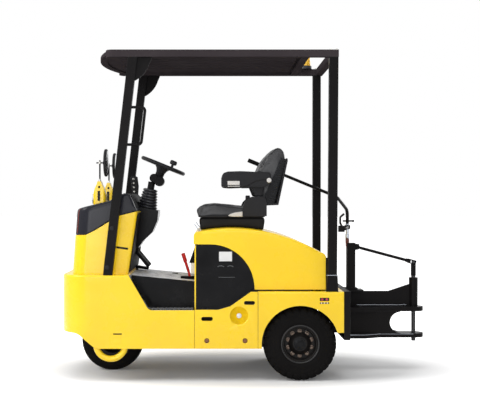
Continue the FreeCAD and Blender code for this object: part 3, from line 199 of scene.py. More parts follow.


# an edge colour in a finish is a lighter tint for its rounded edges: a painted highlight
finishes = {
    "bodyYellow": coat((0.9, 0.61, 0.01), (0.85, 0.56, 0.007), (0.22, 0.34), 260.0, specular=0.25, bump=0.05,
        coat=0.22, coatRough=0.06, chips=0.35, edgeColor=(1.0, 0.76, 0.12), edgeTint=0.5, dust=0.25),
    "frameBlack": coat((0.0042, 0.0038, 0.004), (0.0065, 0.0057, 0.006), (0.34, 0.5), 420.0, specular=0.06,
        bump=0.25, chips=0.2, chipColor=(0.07, 0.06, 0.055), edgeColor=(0.035, 0.036, 0.04), edgeTint=0.5,
        dust=0.04),
    "coverBlack": coat((0.0046, 0.0046, 0.0052), (0.007, 0.007, 0.0082), (0.16, 0.3), 300.0, specular=0.07,
        bump=0.08, coat=0.02, edgeColor=(0.05, 0.055, 0.065), edgeTint=0.5, dust=0.15),
    # a darker copy of the body yellow: painted shade in the panel seams
    "seamShadeYellow": coat((0.36, 0.22, 0.01), (0.3, 0.18, 0.008), (0.5, 0.6), 260.0, specular=0.05, bump=0.15),
    "roofBlack": coat((0.044, 0.037, 0.04), (0.034, 0.028, 0.031), (0.6, 0.75), 420.0, specular=0.0,
        edgeColor=(0.05, 0.05, 0.055), edgeTint=0.4, dust=0.05),
    "dashBlack": coat((0.0045, 0.0045, 0.005), (0.007, 0.007, 0.008), (0.55, 0.7), 500.0, specular=0.04,
        chips=0.05, edgeColor=(0.02, 0.021, 0.025), edgeTint=0.3, dust=0.05),
    "flangeGrey": coat((0.022, 0.022, 0.023), (0.014, 0.014, 0.014), (0.3, 0.45), 400.0, specular=0.3, bump=0.1,
        chips=0.4),
    # a light grey for thin lines on edges: painted highlights
    "highlightGrey": coat((0.1, 0.105, 0.11), (0.07, 0.075, 0.08), (0.3, 0.45), 500.0, specular=0.3, bump=0.1),
    "capBlack": coat((0.009, 0.009, 0.013), (0.015, 0.0155, 0.021), (0.2, 0.3), 500.0, specular=0.08, bump=0.05,
        coat=0.12, coatRough=0.1, edgeColor=(0.06, 0.065, 0.085), edgeTint=0.5),
    "mouldedBlack": coat((0.01, 0.0095, 0.01), (0.015, 0.015, 0.017), (0.42, 0.58), 900.0, specular=0.12,
        cells=0.7, bump=0.35, depth=0.0003, chips=0.15, chipColor=(0.06, 0.06, 0.065),
        edgeColor=(0.055, 0.058, 0.07), edgeTint=0.5),
    "bootRubber": coat((0.008, 0.008, 0.01), (0.014, 0.014, 0.018), (0.28, 0.42), 700.0, specular=0.34,
        edgeColor=(0.07, 0.072, 0.09), edgeTint=0.6),
    "tyreRubber": coat((0.004, 0.0037, 0.0037), (0.0065, 0.006, 0.006), (0.62, 0.85), 320.0, specular=0.05,
        bump=0.5, depth=0.0006, chips=0.4, chipColor=(0.03, 0.028, 0.026), dust=0.12, dustHeight=0.5,
        dustColor=(0.05, 0.045, 0.04)),
    "wheelBlack": coat((0.005, 0.0046, 0.0045), (0.009, 0.008, 0.0075), (0.35, 0.55), 260.0, specular=0.12,
        bump=0.3, chips=0.7, chipColor=(0.05, 0.034, 0.026), dust=0.12, dustColor=(0.07, 0.055, 0.045)),
    "nutBronze": coat((0.12, 0.075, 0.055), (0.2, 0.16, 0.13), (0.35, 0.55), 300.0, metallic=0.6, bump=0.3,
        dust=0.2, chips=0.3),
    "pinBlack": coat((0.02, 0.02, 0.022), (0.035, 0.034, 0.036), (0.3, 0.45), 200.0, metallic=0.4, specular=0.3,
        bump=0.25, chips=0.8, chipColor=(0.22, 0.21, 0.2), edgeColor=(0.12, 0.12, 0.13), edgeTint=0.7),
    "shaftSteel": coat((0.44, 0.47, 0.52), (0.32, 0.34, 0.38), (0.22, 0.4), 200.0, metallic=1.0, chips=0.2,
        chipColor=(0.2, 0.15, 0.1), dust=0.2),
    "zincSteel": coat((0.5, 0.49, 0.47), (0.36, 0.35, 0.32), (0.3, 0.45), 300.0, metallic=1.0, chips=0.2,
        dust=0.15),
    "leverRed": coat((0.55, 0.012, 0.01), (0.42, 0.01, 0.009), (0.35, 0.5), 400.0, specular=0.3, bump=0.1),
    "lampRed": coat((0.5, 0.02, 0.04), (0.38, 0.012, 0.03), (0.15, 0.25), 600.0, coat=0.4, specular=0.3,
        cells=1.0, bump=0.4, chips=0.0),
    "reflectorRed": coat((0.17, 0.022, 0.016), (0.12, 0.015, 0.012), (0.3, 0.4), 600.0, specular=0.2, cells=1.0,
        bump=0.4, chips=0.0),
    "clevisBrown": coat((0.13, 0.035, 0.022), (0.08, 0.022, 0.016), (0.4, 0.6), 260.0, specular=0.25, bump=0.4,
        chips=0.5, dust=0.2),
    "paleLabel": coat((0.7, 0.7, 0.7), (0.6, 0.6, 0.6), (0.3, 0.42), 300.0, bump=0.05),
    "seatTrim": coat((0.62, 0.6, 0.57), (0.54, 0.52, 0.5), (0.35, 0.5), 500.0, bump=0.1),
    "batteryCase": coat((0.06, 0.06, 0.07), (0.04, 0.04, 0.05), (0.5, 0.65), 250.0, chips=0.2, dust=0.2),
    "motorCast": coat((0.03, 0.03, 0.03), (0.045, 0.04, 0.038), (0.5, 0.7), 140.0, bump=0.6, depth=0.0008,
        chips=0.5, dust=0.4),
    "fadedPlug": coat((0.26, 0.105, 0.035), (0.18, 0.07, 0.024), (0.45, 0.6), 300.0, chips=0.2, dust=0.2),
}
materials = {name: coatedFinish(name, spec) for name, spec in finishes.items()}
print("coated finishes:", len(materials))


def seatVinylFinish():
    material, tree, shader = newMaterial("seatVinyl")
    edge = placeGroup(tree, edgeWearAndHighlight, {"Radius": 0.004, "Amount": 0.2})
    dust = placeGroup(tree, roadDust, {"Height": 1.0, "Amount": 0.0})
    place = objectPlace(tree)
    warp = noiseOf(tree, place, 90.0, output="Color")
    shifted = addNode(tree, "ShaderNodeMix", {0: 0.012, 4: place, 5: warp}, data_type="VECTOR").outputs[1]
    pebble = spread(tree, cellsOf(tree, shifted, 420.0, "DISTANCE_TO_EDGE").outputs["Distance"], 0.0, 0.28)
    wrinkle = noiseOf(tree, place, 26.0, 3.0)
    color = blendColors(tree, pebble, (0.006, 0.006, 0.0075), (0.016, 0.016, 0.019))
    # lighter bluish edges on the vinyl: a painted highlight
    color = blendColors(tree, math2(tree, "MULTIPLY", edge["Edge"], 0.4), color, (0.06, 0.062, 0.07))
    height = math2(tree, "ADD", math2(tree, "MULTIPLY", pebble, 0.25), wrinkle)
    setInputs(tree, shader, {
        "Base Color": color, "Roughness": spread(tree, dust["Smudge"], 0.0, 1.0, 0.34, 0.5),
        "Normal": bumpOf(tree, 0.35, 0.0012, height, Normal=edge["Normal"]), "Sheen Weight": 0.12})
    return material


def floorMatSkyReflectionFinish():
    material, tree, shader = newMaterial("floorMatSkyReflection")
    edge = placeGroup(tree, edgeWearAndHighlight, {"Radius": 0.003, "Amount": 0.3})
    place = objectPlace(tree)
    blotch = noiseOf(tree, place, 22.0, 8.0, 0.7)
    fleck = noiseOf(tree, place, 240.0, 2.0)
    # the mat's pale bluish tone is partly a painted reflection of the sky; the darker blotches and pale flecks are
    # the mat's own
    color = blendColors(tree, spread(tree, blotch, 0.44, 0.62), (0.86, 0.88, 0.93), (0.42, 0.43, 0.46))
    color = blendColors(tree, spread(tree, fleck, 0.54, 0.62), color, (0.94, 0.95, 0.98))
    level = addNode(tree, "ShaderNodeVectorMath", {0: place, 1: (1.0, 1.0, 0.0)}, operation="MULTIPLY").outputs[0]
    studs = cellsOf(tree, level, 70.0, "F1")
    studs.inputs["Randomness"].default_value = 0.0
    height = spread(tree, studs.outputs["Distance"], 0.35, 0.22)
    setInputs(tree, shader, {"Base Color": color, "Roughness": spread(tree, blotch, 0.3, 0.7, 0.4, 0.7),
                             "Normal": bumpOf(tree, 0.6, 0.0015, height, Normal=edge["Normal"])})
    return material


def lensFinish(name, color, rough, ribs, clear):
    material, tree, shader = newMaterial(name)
    place = objectPlace(tree)
    wave = addNode(tree, "ShaderNodeTexWave", {"Vector": place, "Scale": ribs, "Distortion": 0.0},
                   bands_direction="Z").outputs["Fac"]
    film = noiseOf(tree, place, 40.0, 5.0)
    setInputs(tree, shader, {
        "Base Color": blendColors(tree, spread(tree, film, 0.3, 0.7), color, tuple(part * 0.85 for part in color)),
        "Roughness": spread(tree, film, 0.3, 0.7, rough, rough + 0.1),
        "Normal": bumpOf(tree, 0.5, 0.001, wave), "Transmission Weight": clear, "IOR": 1.49})
    return material


def mirrorFinish():
    material, tree, shader = newMaterial("mirrorGlass")
    film = noiseOf(tree, objectPlace(tree), 30.0, 6.0)
    setInputs(tree, shader, {
        "Base Color": blendColors(tree, spread(tree, film, 0.4, 0.7), (0.86, 0.88, 0.9), (0.74, 0.76, 0.78)),
        "Roughness": spread(tree, film, 0.4, 0.75, 0.02, 0.12), "Metallic": 1.0})
    return material


materials["seatVinyl"] = seatVinylFinish()
materials["floorMatSkyReflection"] = floorMatSkyReflectionFinish()
materials["amberLens"] = lensFinish("amberLens", (1.0, 0.56, 0.01), 0.1, 90.0, 0.15)
materials["clearLens"] = lensFinish("clearLens", (0.92, 0.93, 0.94), 0.05, 60.0, 0.55)
materials["mirrorGlass"] = mirrorFinish()
print("all finishes:", len(materials))


wornBy = {
    "bodyYellow": ["front_body", "front_cowl", "battery_hood", "side_panel_{}", "rear_fender_{}", "seat_box_front",
                   "rear_deck", "headlamp_{}", "skirt_hoops"],
    "frameBlack": ["chassis_frame", "front_pillar_{}", "rear_pillar_{}", "rear_frame", "hitch_bracket",
                   "release_post", "lift_arm", "lever_bracket", "release_lever", "fork", "rear_axle",
                   "hood_hinge_{}", "grab_handle", "steering_column"],
    "roofBlack": ["roof_frame", "roof_panel"],
    "capBlack": ["cowl_cap"],
    "coverBlack": ["column_cover", "side_cover_{}", "step_well_{}", "pedals"],
    "mouldedBlack": ["seat_shell", "armrest_{}", "steering_wheel", "seat_base", "mirror_{}"],
    "bootRubber": ["steering_boot"],
    "floorMatSkyReflection": ["floor_plate"],
    "tyreRubber": ["front_tyre"],
    "wheelBlack": ["front_rim", "rear_rim_{}"],
    "leverRed": ["parking_lever"],
    "pinBlack": ["hitch_pin"],
    "batteryCase": ["battery_block"],
    "motorCast": ["drive_motor"],
}
for finish, patterns in wornBy.items():
    for name in sorted({pattern.format(side) for pattern in patterns for side, _ in sides}):
        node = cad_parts[name]
        node.data.materials.clear()
        node.data.materials.append(materials[finish])


searchTrees = {}


# where a ray meets a piece, for things that lie on its surface
def surfaceAt(piece, start, direction):
    if isinstance(piece, str):
        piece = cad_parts[piece]
    if piece.name not in searchTrees:
        mesh = piece.data
        searchTrees[piece.name] = BVHTree.FromPolygons([vert.co for vert in mesh.vertices],
                                                       [tuple(face.vertices) for face in mesh.polygons])
    place, normal, _, _ = searchTrees[piece.name].ray_cast(Vector(start), Vector(direction))
    if place is None:
        raise ValueError(f"nothing of {piece.name} from {tuple(start)}")
    return place, normal


def surfaceLine(nodeName, starts, direction, lift):
    raised = Vector(direction) * -lift
    return [surfaceAt(nodeName, start, direction)[0] + raised for start in starts]


def newPiece(name, data):
    piece = bpy.data.objects.new(name, data)
    scene.collection.objects.link(piece)
    return piece


def meshOf(name, shape):
    mesh = bpy.data.meshes.new(name)
    bmesh.ops.recalc_face_normals(shape, faces=shape.faces[:])
    shape.to_mesh(mesh)
    shape.free()
    return mesh


def shadeSmooth(piece, sharp=None):
    piece.data.polygons.foreach_set("use_smooth", [True] * len(piece.data.polygons))
    if sharp is not None:
        piece.data.set_sharp_from_angle(angle=math.radians(sharp))


def putOn(piece, body, standsFor=None):
    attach(piece, body)
    if standsFor:
        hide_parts(standsFor)


def finishMesh(name, shape, finish, body, sharp=35, standsFor=None):
    piece = newPiece(name, meshOf(name, shape))
    shadeSmooth(piece, sharp)
    piece.data.materials.append(materials[finish])
    putOn(piece, body, standsFor)
    return piece


# one small piece made of several parts: a helper, then what it is given
def fitting(name, finish, parts, body="chassis", standsFor=None):
    shape = bmesh.new()
    for add, *given in parts:
        add(shape, *given)
    return finishMesh(name, shape, finish, body, 35, standsFor)


def aroundTurn(steps):
    return [2 * math.pi * step / steps for step in range(steps)]


def boxMiddle(nodeName):
    low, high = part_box(nodeName)
    return Vector([(a + b) / 2 for a, b in zip(low, high)])


def joinRings(shape, rings, closed=False):
    for lower, upper in zip(rings, rings[1:] + rings[:1] if closed else rings[1:]):
        for here in range(len(lower)):
            after = (here + 1) % len(lower)
            shape.faces.new((lower[here], lower[after], upper[after], upper[here]))
    if not closed:
        shape.faces.new(rings[0][::-1])
        shape.faces.new(rings[-1])


def facing(axis):
    return Vector(axis).to_track_quat("Z", "Y").to_matrix().to_4x4()


# a profile turned about an axis; sides makes its section a polygon
def addTurned(shape, profile, centre, axis, steps=32, sides=None):
    turn = Matrix.Translation(centre) @ facing(axis)
    rings = []
    for along, radius in profile:
        ring = []
        for angle in aroundTurn(steps):
            reach = radius / math.cos((angle % (2 * math.pi / sides)) - math.pi / sides) if sides else radius
            ring.append(shape.verts.new(turn @ Vector((reach * math.cos(angle), reach * math.sin(angle), along))))
        rings.append(ring)
    joinRings(shape, rings)


def addBox(shape, low, high, rounding=0.0, steps=2, turn=None):
    made = bmesh.ops.create_cube(shape, size=1.0)["verts"]
    middle = [(a + b) / 2 for a, b in zip(low, high)]
    for vert in made:
        vert.co = Vector([m + v * (b - a) for m, v, a, b in zip(middle, vert.co, low, high)])
    if rounding:
        edges = list({edge for vert in made for edge in vert.link_edges})
        made = bmesh.ops.bevel(shape, geom=edges, offset=rounding, segments=steps, profile=0.5,
                               affect="EDGES")["verts"]
        made = list({vert for face in shape.faces for vert in face.verts if vert in set(made)})
    if turn is not None:
        bmesh.ops.transform(shape, matrix=turn, verts=made)
    return made


def addPlate(shape, outline, direction, thick, rounding=0.0015):
    face = shape.faces.new([shape.verts.new(Vector(point)) for point in outline])
    pushed = bmesh.ops.extrude_face_region(shape, geom=[face])["geom"]
    moved = [item for item in pushed if isinstance(item, bmesh.types.BMVert)]
    bmesh.ops.translate(shape, verts=moved, vec=Vector(direction).normalized() * thick)
    top = [item for item in pushed if isinstance(item, bmesh.types.BMFace)]
    if rounding:
        rim = list({edge for item in top for edge in item.edges})
        bmesh.ops.bevel(shape, geom=rim, offset=rounding, segments=2, affect="EDGES")


def addTube(shape, points, radius, steps=12, closed=False):
    points = [Vector(point) for point in points]
    befores = [points[-1 if closed else 0]] + points[:-1]
    afters = points[1:] + [points[0 if closed else -1]]
    side = None
    rings = []
    for before, point, after in zip(befores, points, afters):
        along = (after - before).normalized()
        if side is None:
            side = along.orthogonal().normalized()
        side = (side - along * side.dot(along)).normalized()
        up = along.cross(side)
        rings.append([shape.verts.new(point + radius * (side * math.cos(angle) + up * math.sin(angle)))
                      for angle in aroundTurn(steps)])
    joinRings(shape, rings, closed)


# a thin skin on a grid, with each point given as an outer and an inner one
def addSkin(shape, rows, columns, layers):
    cells = {(row, column): [shape.verts.new(point) for point in layers(row / rows, column / columns)]
             for row in range(rows + 1) for column in range(columns + 1)}
    for row in range(rows):
        for column in range(columns):
            corners = [(row, column), (row, column + 1), (row + 1, column + 1), (row + 1, column)]
            shape.faces.new([cells[key][0] for key in corners])
            shape.faces.new([cells[key][1] for key in corners[::-1]])
    rim = [(0, column) for column in range(columns)] + [(row, columns) for row in range(rows)] \
        + [(rows, column) for column in range(columns, 0, -1)] + [(row, 0) for row in range(rows, 0, -1)]
    for here, there in zip(rim, rim[1:] + rim[:1]):
        shape.faces.new([cells[here][0], cells[here][1], cells[there][1], cells[there][0]])


# a path through the corners, each rounded over the bend length
def smoothPath(corners, bend, steps=6):
    corners = [Vector(corner) for corner in corners]
    path = [corners[0]]
    for before, corner, after in zip(corners, corners[1:], corners[2:]):
        start = corner + (before - corner).normalized() * bend
        end = corner + (after - corner).normalized() * bend
        path += [start * (1 - t) ** 2 + corner * 2 * t * (1 - t) + end * t ** 2
                 for t in [step / steps for step in range(steps + 1)]]
    return path + [corners[-1]]


def addHexBolt(shape, place, axis, across):
    height, washer = across * 0.62, across * 0.13
    addTurned(shape, [(0, across * 0.86), (washer, across * 0.86), (washer * 1.3, across * 0.8)], place, axis, 24)
    base = Vector(place) + Vector(axis).normalized() * washer
    addTurned(shape, [(0, across * 0.47), (height * 0.86, across * 0.47), (height, across * 0.4)], base, axis,
              24, 6)


def addDomeBolt(shape, place, axis, radius):
    profile = [(0, 1), (0.12, 1), (0.32, 0.88), (0.48, 0.6), (0.52, 0.38), (0.36, 0.34), (0.34, 0.05)]
    addTurned(shape, [(radius * along, radius * reach) for along, reach in profile], place, axis, 20)


def addRevolved(shape, centre, ring, steps):
    loops = [[shape.verts.new(centre + Vector((radius * math.cos(angle), across, radius * math.sin(angle))))
              for across, radius in ring] for angle in aroundTurn(steps)]
    joinRings(shape, loops, True)


# rear tyre: a smooth carcass with two rows of lugs, half a pitch apart
rearWheel = dict(
    steps=112, lugs=28, lugShare=0.31, lugGrow=(0.86, 0.3), lugFoot=1.12, lugTop=0.9, lean=0.5, crownReach=0.066,
    crown=[(-0.006, 0.2358, 0.222), (0.018, 0.2356, 0.222), (0.038, 0.2345, 0.221), (0.051, 0.23, 0.217),
           (0.06, 0.2225, 0.209), (0.0652, 0.211, 0.198), (0.0658, 0.199, 0.19)],
    section=[(0.0, 0.2268), (0.02, 0.2264), (0.04, 0.2248), (0.052, 0.2205), (0.06, 0.212), (0.064, 0.2),
             (0.0655, 0.185), (0.0655, 0.17), (0.0645, 0.1655), (0.065, 0.162), (0.064, 0.148),
             (0.0645, 0.144), (0.0635, 0.14), (0.06, 0.126), (0.056, 0.118), (0.0545, 0.1121)])


def ruggedTyre(side):
    spec = rearWheel
    centre = boxMiddle("rear_tyre_" + side)
    shape = bmesh.new()
    half = spec["section"]
    addRevolved(shape, centre, [(-across, radius) for across, radius in half[::-1]] + half[1:], spec["steps"])
    pitch = 2 * math.pi / spec["lugs"]
    for lug in range(spec["lugs"]):
        for hand, shift in ((1, 0.0), (-1, 0.5)):
            blocks = []
            for across, top, foot in spec["crown"]:
                share = max(0.0, across) / spec["crownReach"]
                middle = (lug + shift + spec["lean"] * share) * pitch
                wide = pitch * spec["lugShare"] * (spec["lugGrow"][0] + spec["lugGrow"][1] * share)
                low, high = wide * spec["lugFoot"], wide * spec["lugTop"]
                corners = ((foot, middle - low), (foot, middle + low), (top, middle + high), (top, middle - high))
                blocks.append([shape.verts.new(centre + Vector((
                    radius * math.cos(angle), hand * across, radius * math.sin(angle))))
                    for radius, angle in corners])
            joinRings(shape, blocks)
    finishMesh("ruggedTyre_" + side, shape, "tyreRubber", "rear_wheel_" + side, 28,
               "rear_tyre_" + side)


wheelDetail = dict(
    hubOut=0.413, nutRing=0.08, nutOut=0.0165, nutAcross=0.016, nuts=10, firstNut=18,
    stud=[(0, 0.006), (0.021, 0.006), (0.023, 0.0045)],
    cap=[(0, 0.04), (0.003, 0.0395), (0.005, 0.036), (0.0052, 0.03), (0.0075, 0.028), (0.009, 0.022),
         (0.0095, 0.004)], capOut=0.0442,
    flange=(0.1195, 0.0585, 0.0044, 10), beads=((0.1105, 0.0535, 0.0042, 10), (0.097, 0.018, 0.0032, 8)),
    valve=[(0, 0.006), (0.006, 0.0055), (0.012, 0.0035), (0.026, 0.0035), (0.0265, 0.0045), (0.034, 0.0045),
           (0.035, 0.003)], valveRing=0.094, valveTurn=2.0, valveOut=0.016)


def rearWheelDetail(side, way):
    spec, body = wheelDetail, "rear_wheel_" + side
    axle = boxMiddle("rear_rim_" + side)
    axle.y = spec["hubOut"] * way
    outward = (0, way, 0)

    def onRing(radius, angle, out):
        return axle + Vector((radius * math.cos(angle), way * out, radius * math.sin(angle)))

    def hoop(radius, out, thick, steps):
        return addTube, [onRing(radius, angle, out) for angle in aroundTurn(72)], thick, steps, True

    nuts = []
    for nut in range(spec["nuts"]):
        place = onRing(spec["nutRing"], math.radians(spec["firstNut"] + nut * 360 / spec["nuts"]), spec["nutOut"])
        nuts += [(addHexBolt, place, outward, spec["nutAcross"]), (addTurned, spec["stud"], place, outward, 14)]
    fitting("wheelNuts_" + side, "nutBronze", nuts, body)
    fitting("hubCap_" + side, "coverBlack",
            [(addTurned, spec["cap"], onRing(0, 0, spec["capOut"]), outward, 40)], body)
    fitting("rimFlange_" + side, "flangeGrey", [hoop(*spec["flange"])], body)
    fitting("rimBeads_" + side, "wheelBlack", [hoop(*bead) for bead in spec["beads"]], body)
    foot = onRing(spec["valveRing"], spec["valveTurn"], spec["valveOut"])
    fitting("tyreValve_" + side, "bootRubber",
            [(addTurned, spec["valve"], foot, outward, 14)], body)


for side, way in sides:
    ruggedTyre(side)
    rearWheelDetail(side, way)


frontWheel = dict(grooves=(-0.036, 0.0, 0.036), grooveWide=0.006, grooveDeep=0.006)


def cushionTyre():
    low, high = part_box("front_tyre")
    half, outer = (high[1] - low[1]) / 2, (high[2] - low[2]) / 2
    wall = [(0.004, 0.1352), (0.001, 0.142), (0.0022, 0.148), (0.0006, 0.153), (0.0002, 0.176), (0.003, 0.188),
            (0.01, outer - 0.006), (0.02, outer - 0.0015)]
    section = [(inset - half, radius) for inset, radius in wall]
    wide, deep = frontWheel["grooveWide"] / 2, frontWheel["grooveDeep"]
    crown = []
    for middle in frontWheel["grooves"]:
        crown += [(middle - wide, outer), (middle - wide * 0.7, outer - deep), (middle + wide * 0.7, outer - deep),
                  (middle + wide, outer)]
    shape = bmesh.new()
    ring = section + crown + [(-across, radius) for across, radius in section[::-1]]
    addRevolved(shape, boxMiddle("front_tyre"), ring, 128)
    finishMesh("cushionTyre", shape, "tyreRubber", "front_wheel", 28, "front_tyre")


cushionTyre()
print("wheels done")


# an even mesh of a CAD piece, a little smaller, to soften or inflate
def bareCopy(name, nodeName, voxel, inset):
    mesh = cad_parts[nodeName].data.copy()
    mesh.materials.clear()
    piece = newPiece(name, mesh)
    shape = bmesh.new()
    shape.from_mesh(mesh)
    bmesh.ops.remove_doubles(shape, verts=shape.verts, dist=0.0001)
    middle = sum((vert.co for vert in shape.verts), Vector()) / len(shape.verts)
    low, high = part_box(nodeName)
    shrink = Vector([1 - 2 * inset / (b - a) for a, b in zip(low, high)])
    for vert in shape.verts:
        vert.co = middle + (vert.co - middle) * shrink
    shape.to_mesh(mesh)
    shape.free()
    remesh = piece.modifiers.new("remesh", "REMESH")
    remesh.mode = "VOXEL"
    remesh.voxel_size = voxel
    applyModifiers(piece)
    return piece


def applyModifiers(piece):
    graph = bpy.context.evaluated_depsgraph_get()
    mesh = bpy.data.meshes.new_from_object(piece.evaluated_get(graph))
    old = piece.data
    piece.modifiers.clear()
    piece.data = mesh
    bpy.data.meshes.remove(old)


def relax(piece, passes, keep=None):
    shape = bmesh.new()
    shape.from_mesh(piece.data)
    free = [vert for vert in shape.verts if keep is None or not keep(vert.co)]
    for _ in range(passes):
        bmesh.ops.smooth_vert(shape, verts=free, factor=0.5, use_axis_x=True, use_axis_y=True, use_axis_z=True)
    shape.to_mesh(piece.data)
    shape.free()


clothFrames = 20  # steps of inflation before the shape is taken
clothSettings = dict(use_pressure=True, tension_stiffness=25, compression_stiffness=25, shear_stiffness=12,
                     bending_stiffness=2, vertex_group_mass="held")


def inflate(piece, spec):
    start = [vert.co.copy() for vert in piece.data.vertices]
    group = piece.vertex_groups.new(name="held")
    for vert in piece.data.vertices:
        if (vert.co - Vector(spec["heldAt"])).dot(Vector(spec["face"])) < spec["heldReach"]:
            group.add([vert.index], 1.0, "REPLACE")
    cloth = piece.modifiers.new("cloth", "CLOTH")
    for setting, value in clothSettings.items():
        setattr(cloth.settings, setting, value)
    cloth.settings.uniform_pressure_force = spec["pressure"]
    cloth.settings.effector_weights.gravity = 0
    cloth.point_cache.frame_end = clothFrames
    for step in range(1, clothFrames + 1):
        scene.frame_set(step)
    applyModifiers(piece)
    scene.frame_set(1)
    for vert, before in zip(piece.data.vertices, start):
        moved = vert.co - before
        if moved.length > spec["cap"]:
            vert.co = before + moved * (spec["cap"] / moved.length)
    relax(piece, 2)


def subdivide(piece):
    finer = piece.modifiers.new("finer", "SUBSURF")
    finer.levels = 1
    applyModifiers(piece)


def padSpan(spec):
    rim = spec["corner"]
    middle, reachAlong = (spec["high"] + spec["low"]) / 2, (spec["high"] - spec["low"]) / 2 - rim
    return middle, reachAlong, spec["half"] - rim, rim


def seamDistance(spec, along, across):
    middle, reachAlong, reachAcross, rim = padSpan(spec)
    dAlong, dAcross = abs(along - middle) - reachAlong, abs(across) - reachAcross
    outside = math.hypot(max(dAlong, 0), max(dAcross, 0)) + min(max(dAlong, dAcross), 0) - rim
    channels = [abs(along - channel) for channel in spec["channels"]] if outside < 0 else []
    return min([abs(outside)] + channels), outside


# seams pull the cover in and pucker it beside them
def sewSeams(piece, spec):
    origin, along, face = Vector(spec["origin"]), Vector(spec["along"]), Vector(spec["face"])
    normals = [vert.normal.copy() for vert in piece.data.vertices]
    for vert, normal in zip(piece.data.vertices, normals):
        front = normal.dot(face)
        if front < spec["leastFront"]:
            continue
        local = vert.co - origin
        distance, outside = seamDistance(spec, local.dot(along), vert.co.y)
        groove = spec["depth"] * math.exp(-(distance / spec["wide"]) ** 2)
        dish = spec["dish"] * max(0.0, min(1.0, -outside / spec["dishRim"]))
        pucker = spec["pucker"] * noise.noise(vert.co * spec["puckerScale"])
        pucker *= math.exp(-(distance / spec["puckerWide"]) ** 2)
        vert.co -= face * min(1.0, front * 1.5) * (groove + dish + pucker)


# the cushion's side is drawn down below a level
def deepen(piece, level, share):
    for vert in piece.data.vertices:
        if vert.co.z < level:
            vert.co.z = level - (level - vert.co.z) * share


def dressSkin(piece, nodeName, finish, body):
    shadeSmooth(piece)
    piece.data.materials.append(materials[finish])
    putOn(piece, body, nodeName)


padSewing = dict(voxel=0.0065, inset=0.005, passes=7, pressure=4.0, cap=0.01, fill=0.75, corner=0.045,
                 depth=0.006, wide=0.0055, dishRim=0.05, pucker=0.0006, puckerWide=0.02, puckerScale=90,
                 leastFront=0.25, pipe=0.0024, pipeProud=0.0008, pipeSteps=120, pipeSquare=1.6)
seatPads = dict(
    cushion=dict(padSewing, node="seat_cushion", origin=(0.116, 0, 1.1), along=(1, 0, 0), face=(0, 0, 1),
                 low=-0.162, high=0.15, half=0.135, channels=(-0.095, -0.03, 0.035), dish=0.007,
                 heldAt=(0, 0, 1.068), heldReach=0.0, deepLevel=1.0965, deepShare=1.55),
    backrest=dict(padSewing, node="seat_backrest", origin=(-0.15, 0, 1.33), along=(-0.2236, 0, 0.9747),
                  face=(0.9747, 0, 0.2236), low=-0.13, high=0.15, half=0.13, channels=(-0.06, 0.01, 0.08),
                  dish=0.012, heldAt=(-0.19, 0, 1.142), heldReach=0.012))


def padPiping(spec, piece, name):
    origin, along, face = Vector(spec["origin"]), Vector(spec["along"]), Vector(spec["face"])
    middle, reachAlong, reachAcross, rim = padSpan(spec)
    path = []
    square = spec["pipeSquare"]
    for angle in aroundTurn(spec["pipeSteps"]):
        across, upward = math.sin(angle), math.cos(angle)
        u = middle + math.copysign(reachAlong, upward) * min(1, abs(upward) * square) + rim * upward
        v = math.copysign(reachAcross, across) * min(1, abs(across) * square) + rim * across
        start = origin + along * u + Vector((0, v, 0)) + face * 0.3
        path.append(surfaceAt(piece, start, -face)[0] + face * spec["pipeProud"])
    fitting(name, "bootRubber", [(addTube, path, spec["pipe"], 8, True)], "hood")


def makePad(name, spec):
    piece = bareCopy(name, spec["node"], spec["voxel"], spec["inset"])
    relax(piece, spec["passes"])
    inflate(piece, spec)
    if "deepLevel" in spec:
        deepen(piece, spec["deepLevel"], spec["deepShare"])
    subdivide(piece)
    sewSeams(piece, spec)
    padPiping(spec, piece, name + "Piping")
    dressSkin(piece, spec["node"], "seatVinyl", "hood")


makePad("seatPad", seatPads["cushion"])
makePad("backPad", seatPads["backrest"])

seatMoulding = dict(
    restVoxel=0.005, restPasses=5, panVoxel=0.006, panPasses=22, panTaper=0.14, panLip=1.016, panHalf=0.22,
    ribs=18, ribHalf=0.0028, ribLow=(-0.16, 0, 1.148), ribHigh=(-0.236, 0, 1.428), ribTilt=-15,
    wall=[(-0.221, 1.4456), (-0.259, 1.431), (-0.172, 1.134), (-0.1256, 1.1366), (-0.112, 1.195), (-0.153, 1.284),
          (-0.186, 1.362)],
    beam=[(0.03, 1.2445), (-0.105, 1.247), (-0.133, 1.261), (-0.153, 1.288), (-0.148, 1.33), (0.03, 1.33)])


def sidePlate(outline, y, way, thick, rounding=0.0015):
    return addPlate, [(x, way * y, z) for x, z in outline], (0, way, 0), thick, rounding


for side, way in sides:
    spec = seatMoulding
    rest = bareCopy("armPad_" + side, "armrest_" + side, spec["restVoxel"], 0.0)
    relax(rest, spec["restPasses"])
    subdivide(rest)
    dressSkin(rest, "armrest_" + side, "mouldedBlack", "hood")
    fitting("armBeam_" + side, "mouldedBlack",
            [sidePlate(spec["beam"], 0.2215, way, 0.062, 0.006)], "hood")
    wall = [sidePlate(spec["wall"], 0.2085, way, 0.012, 0.004)]
    lower, upper, half = Vector(spec["ribLow"]), Vector(spec["ribHigh"]), spec["ribHalf"]
    for rib in range(spec["ribs"]):
        middle = lower + (upper - lower) * ((rib + 0.5) / spec["ribs"])
        turn = Matrix.Translation((middle.x, way * 0.22, middle.z)) \
            @ Matrix.Rotation(math.radians(spec["ribTilt"]), 4, "Y")
        wall.append((addBox, (-0.02, -0.0025, -half), (0.02, 0.0025, half), 0.001, 2, turn))
    fitting("backWall_" + side, "coverBlack", wall, "hood")

pan = bareCopy("basePan", "seat_base", seatMoulding["panVoxel"], 0.0)
relax(pan, seatMoulding["panPasses"])
panMiddle = boxMiddle("seat_base").x
for vert in pan.data.vertices:
    drop = seatMoulding["panLip"] - vert.co.z
    if drop > 0:
        vert.co.x -= drop * seatMoulding["panTaper"] * (vert.co.x - panMiddle) / seatMoulding["panHalf"]
dressSkin(pan, "seat_base", "mouldedBlack", "hood")
print("seat done")


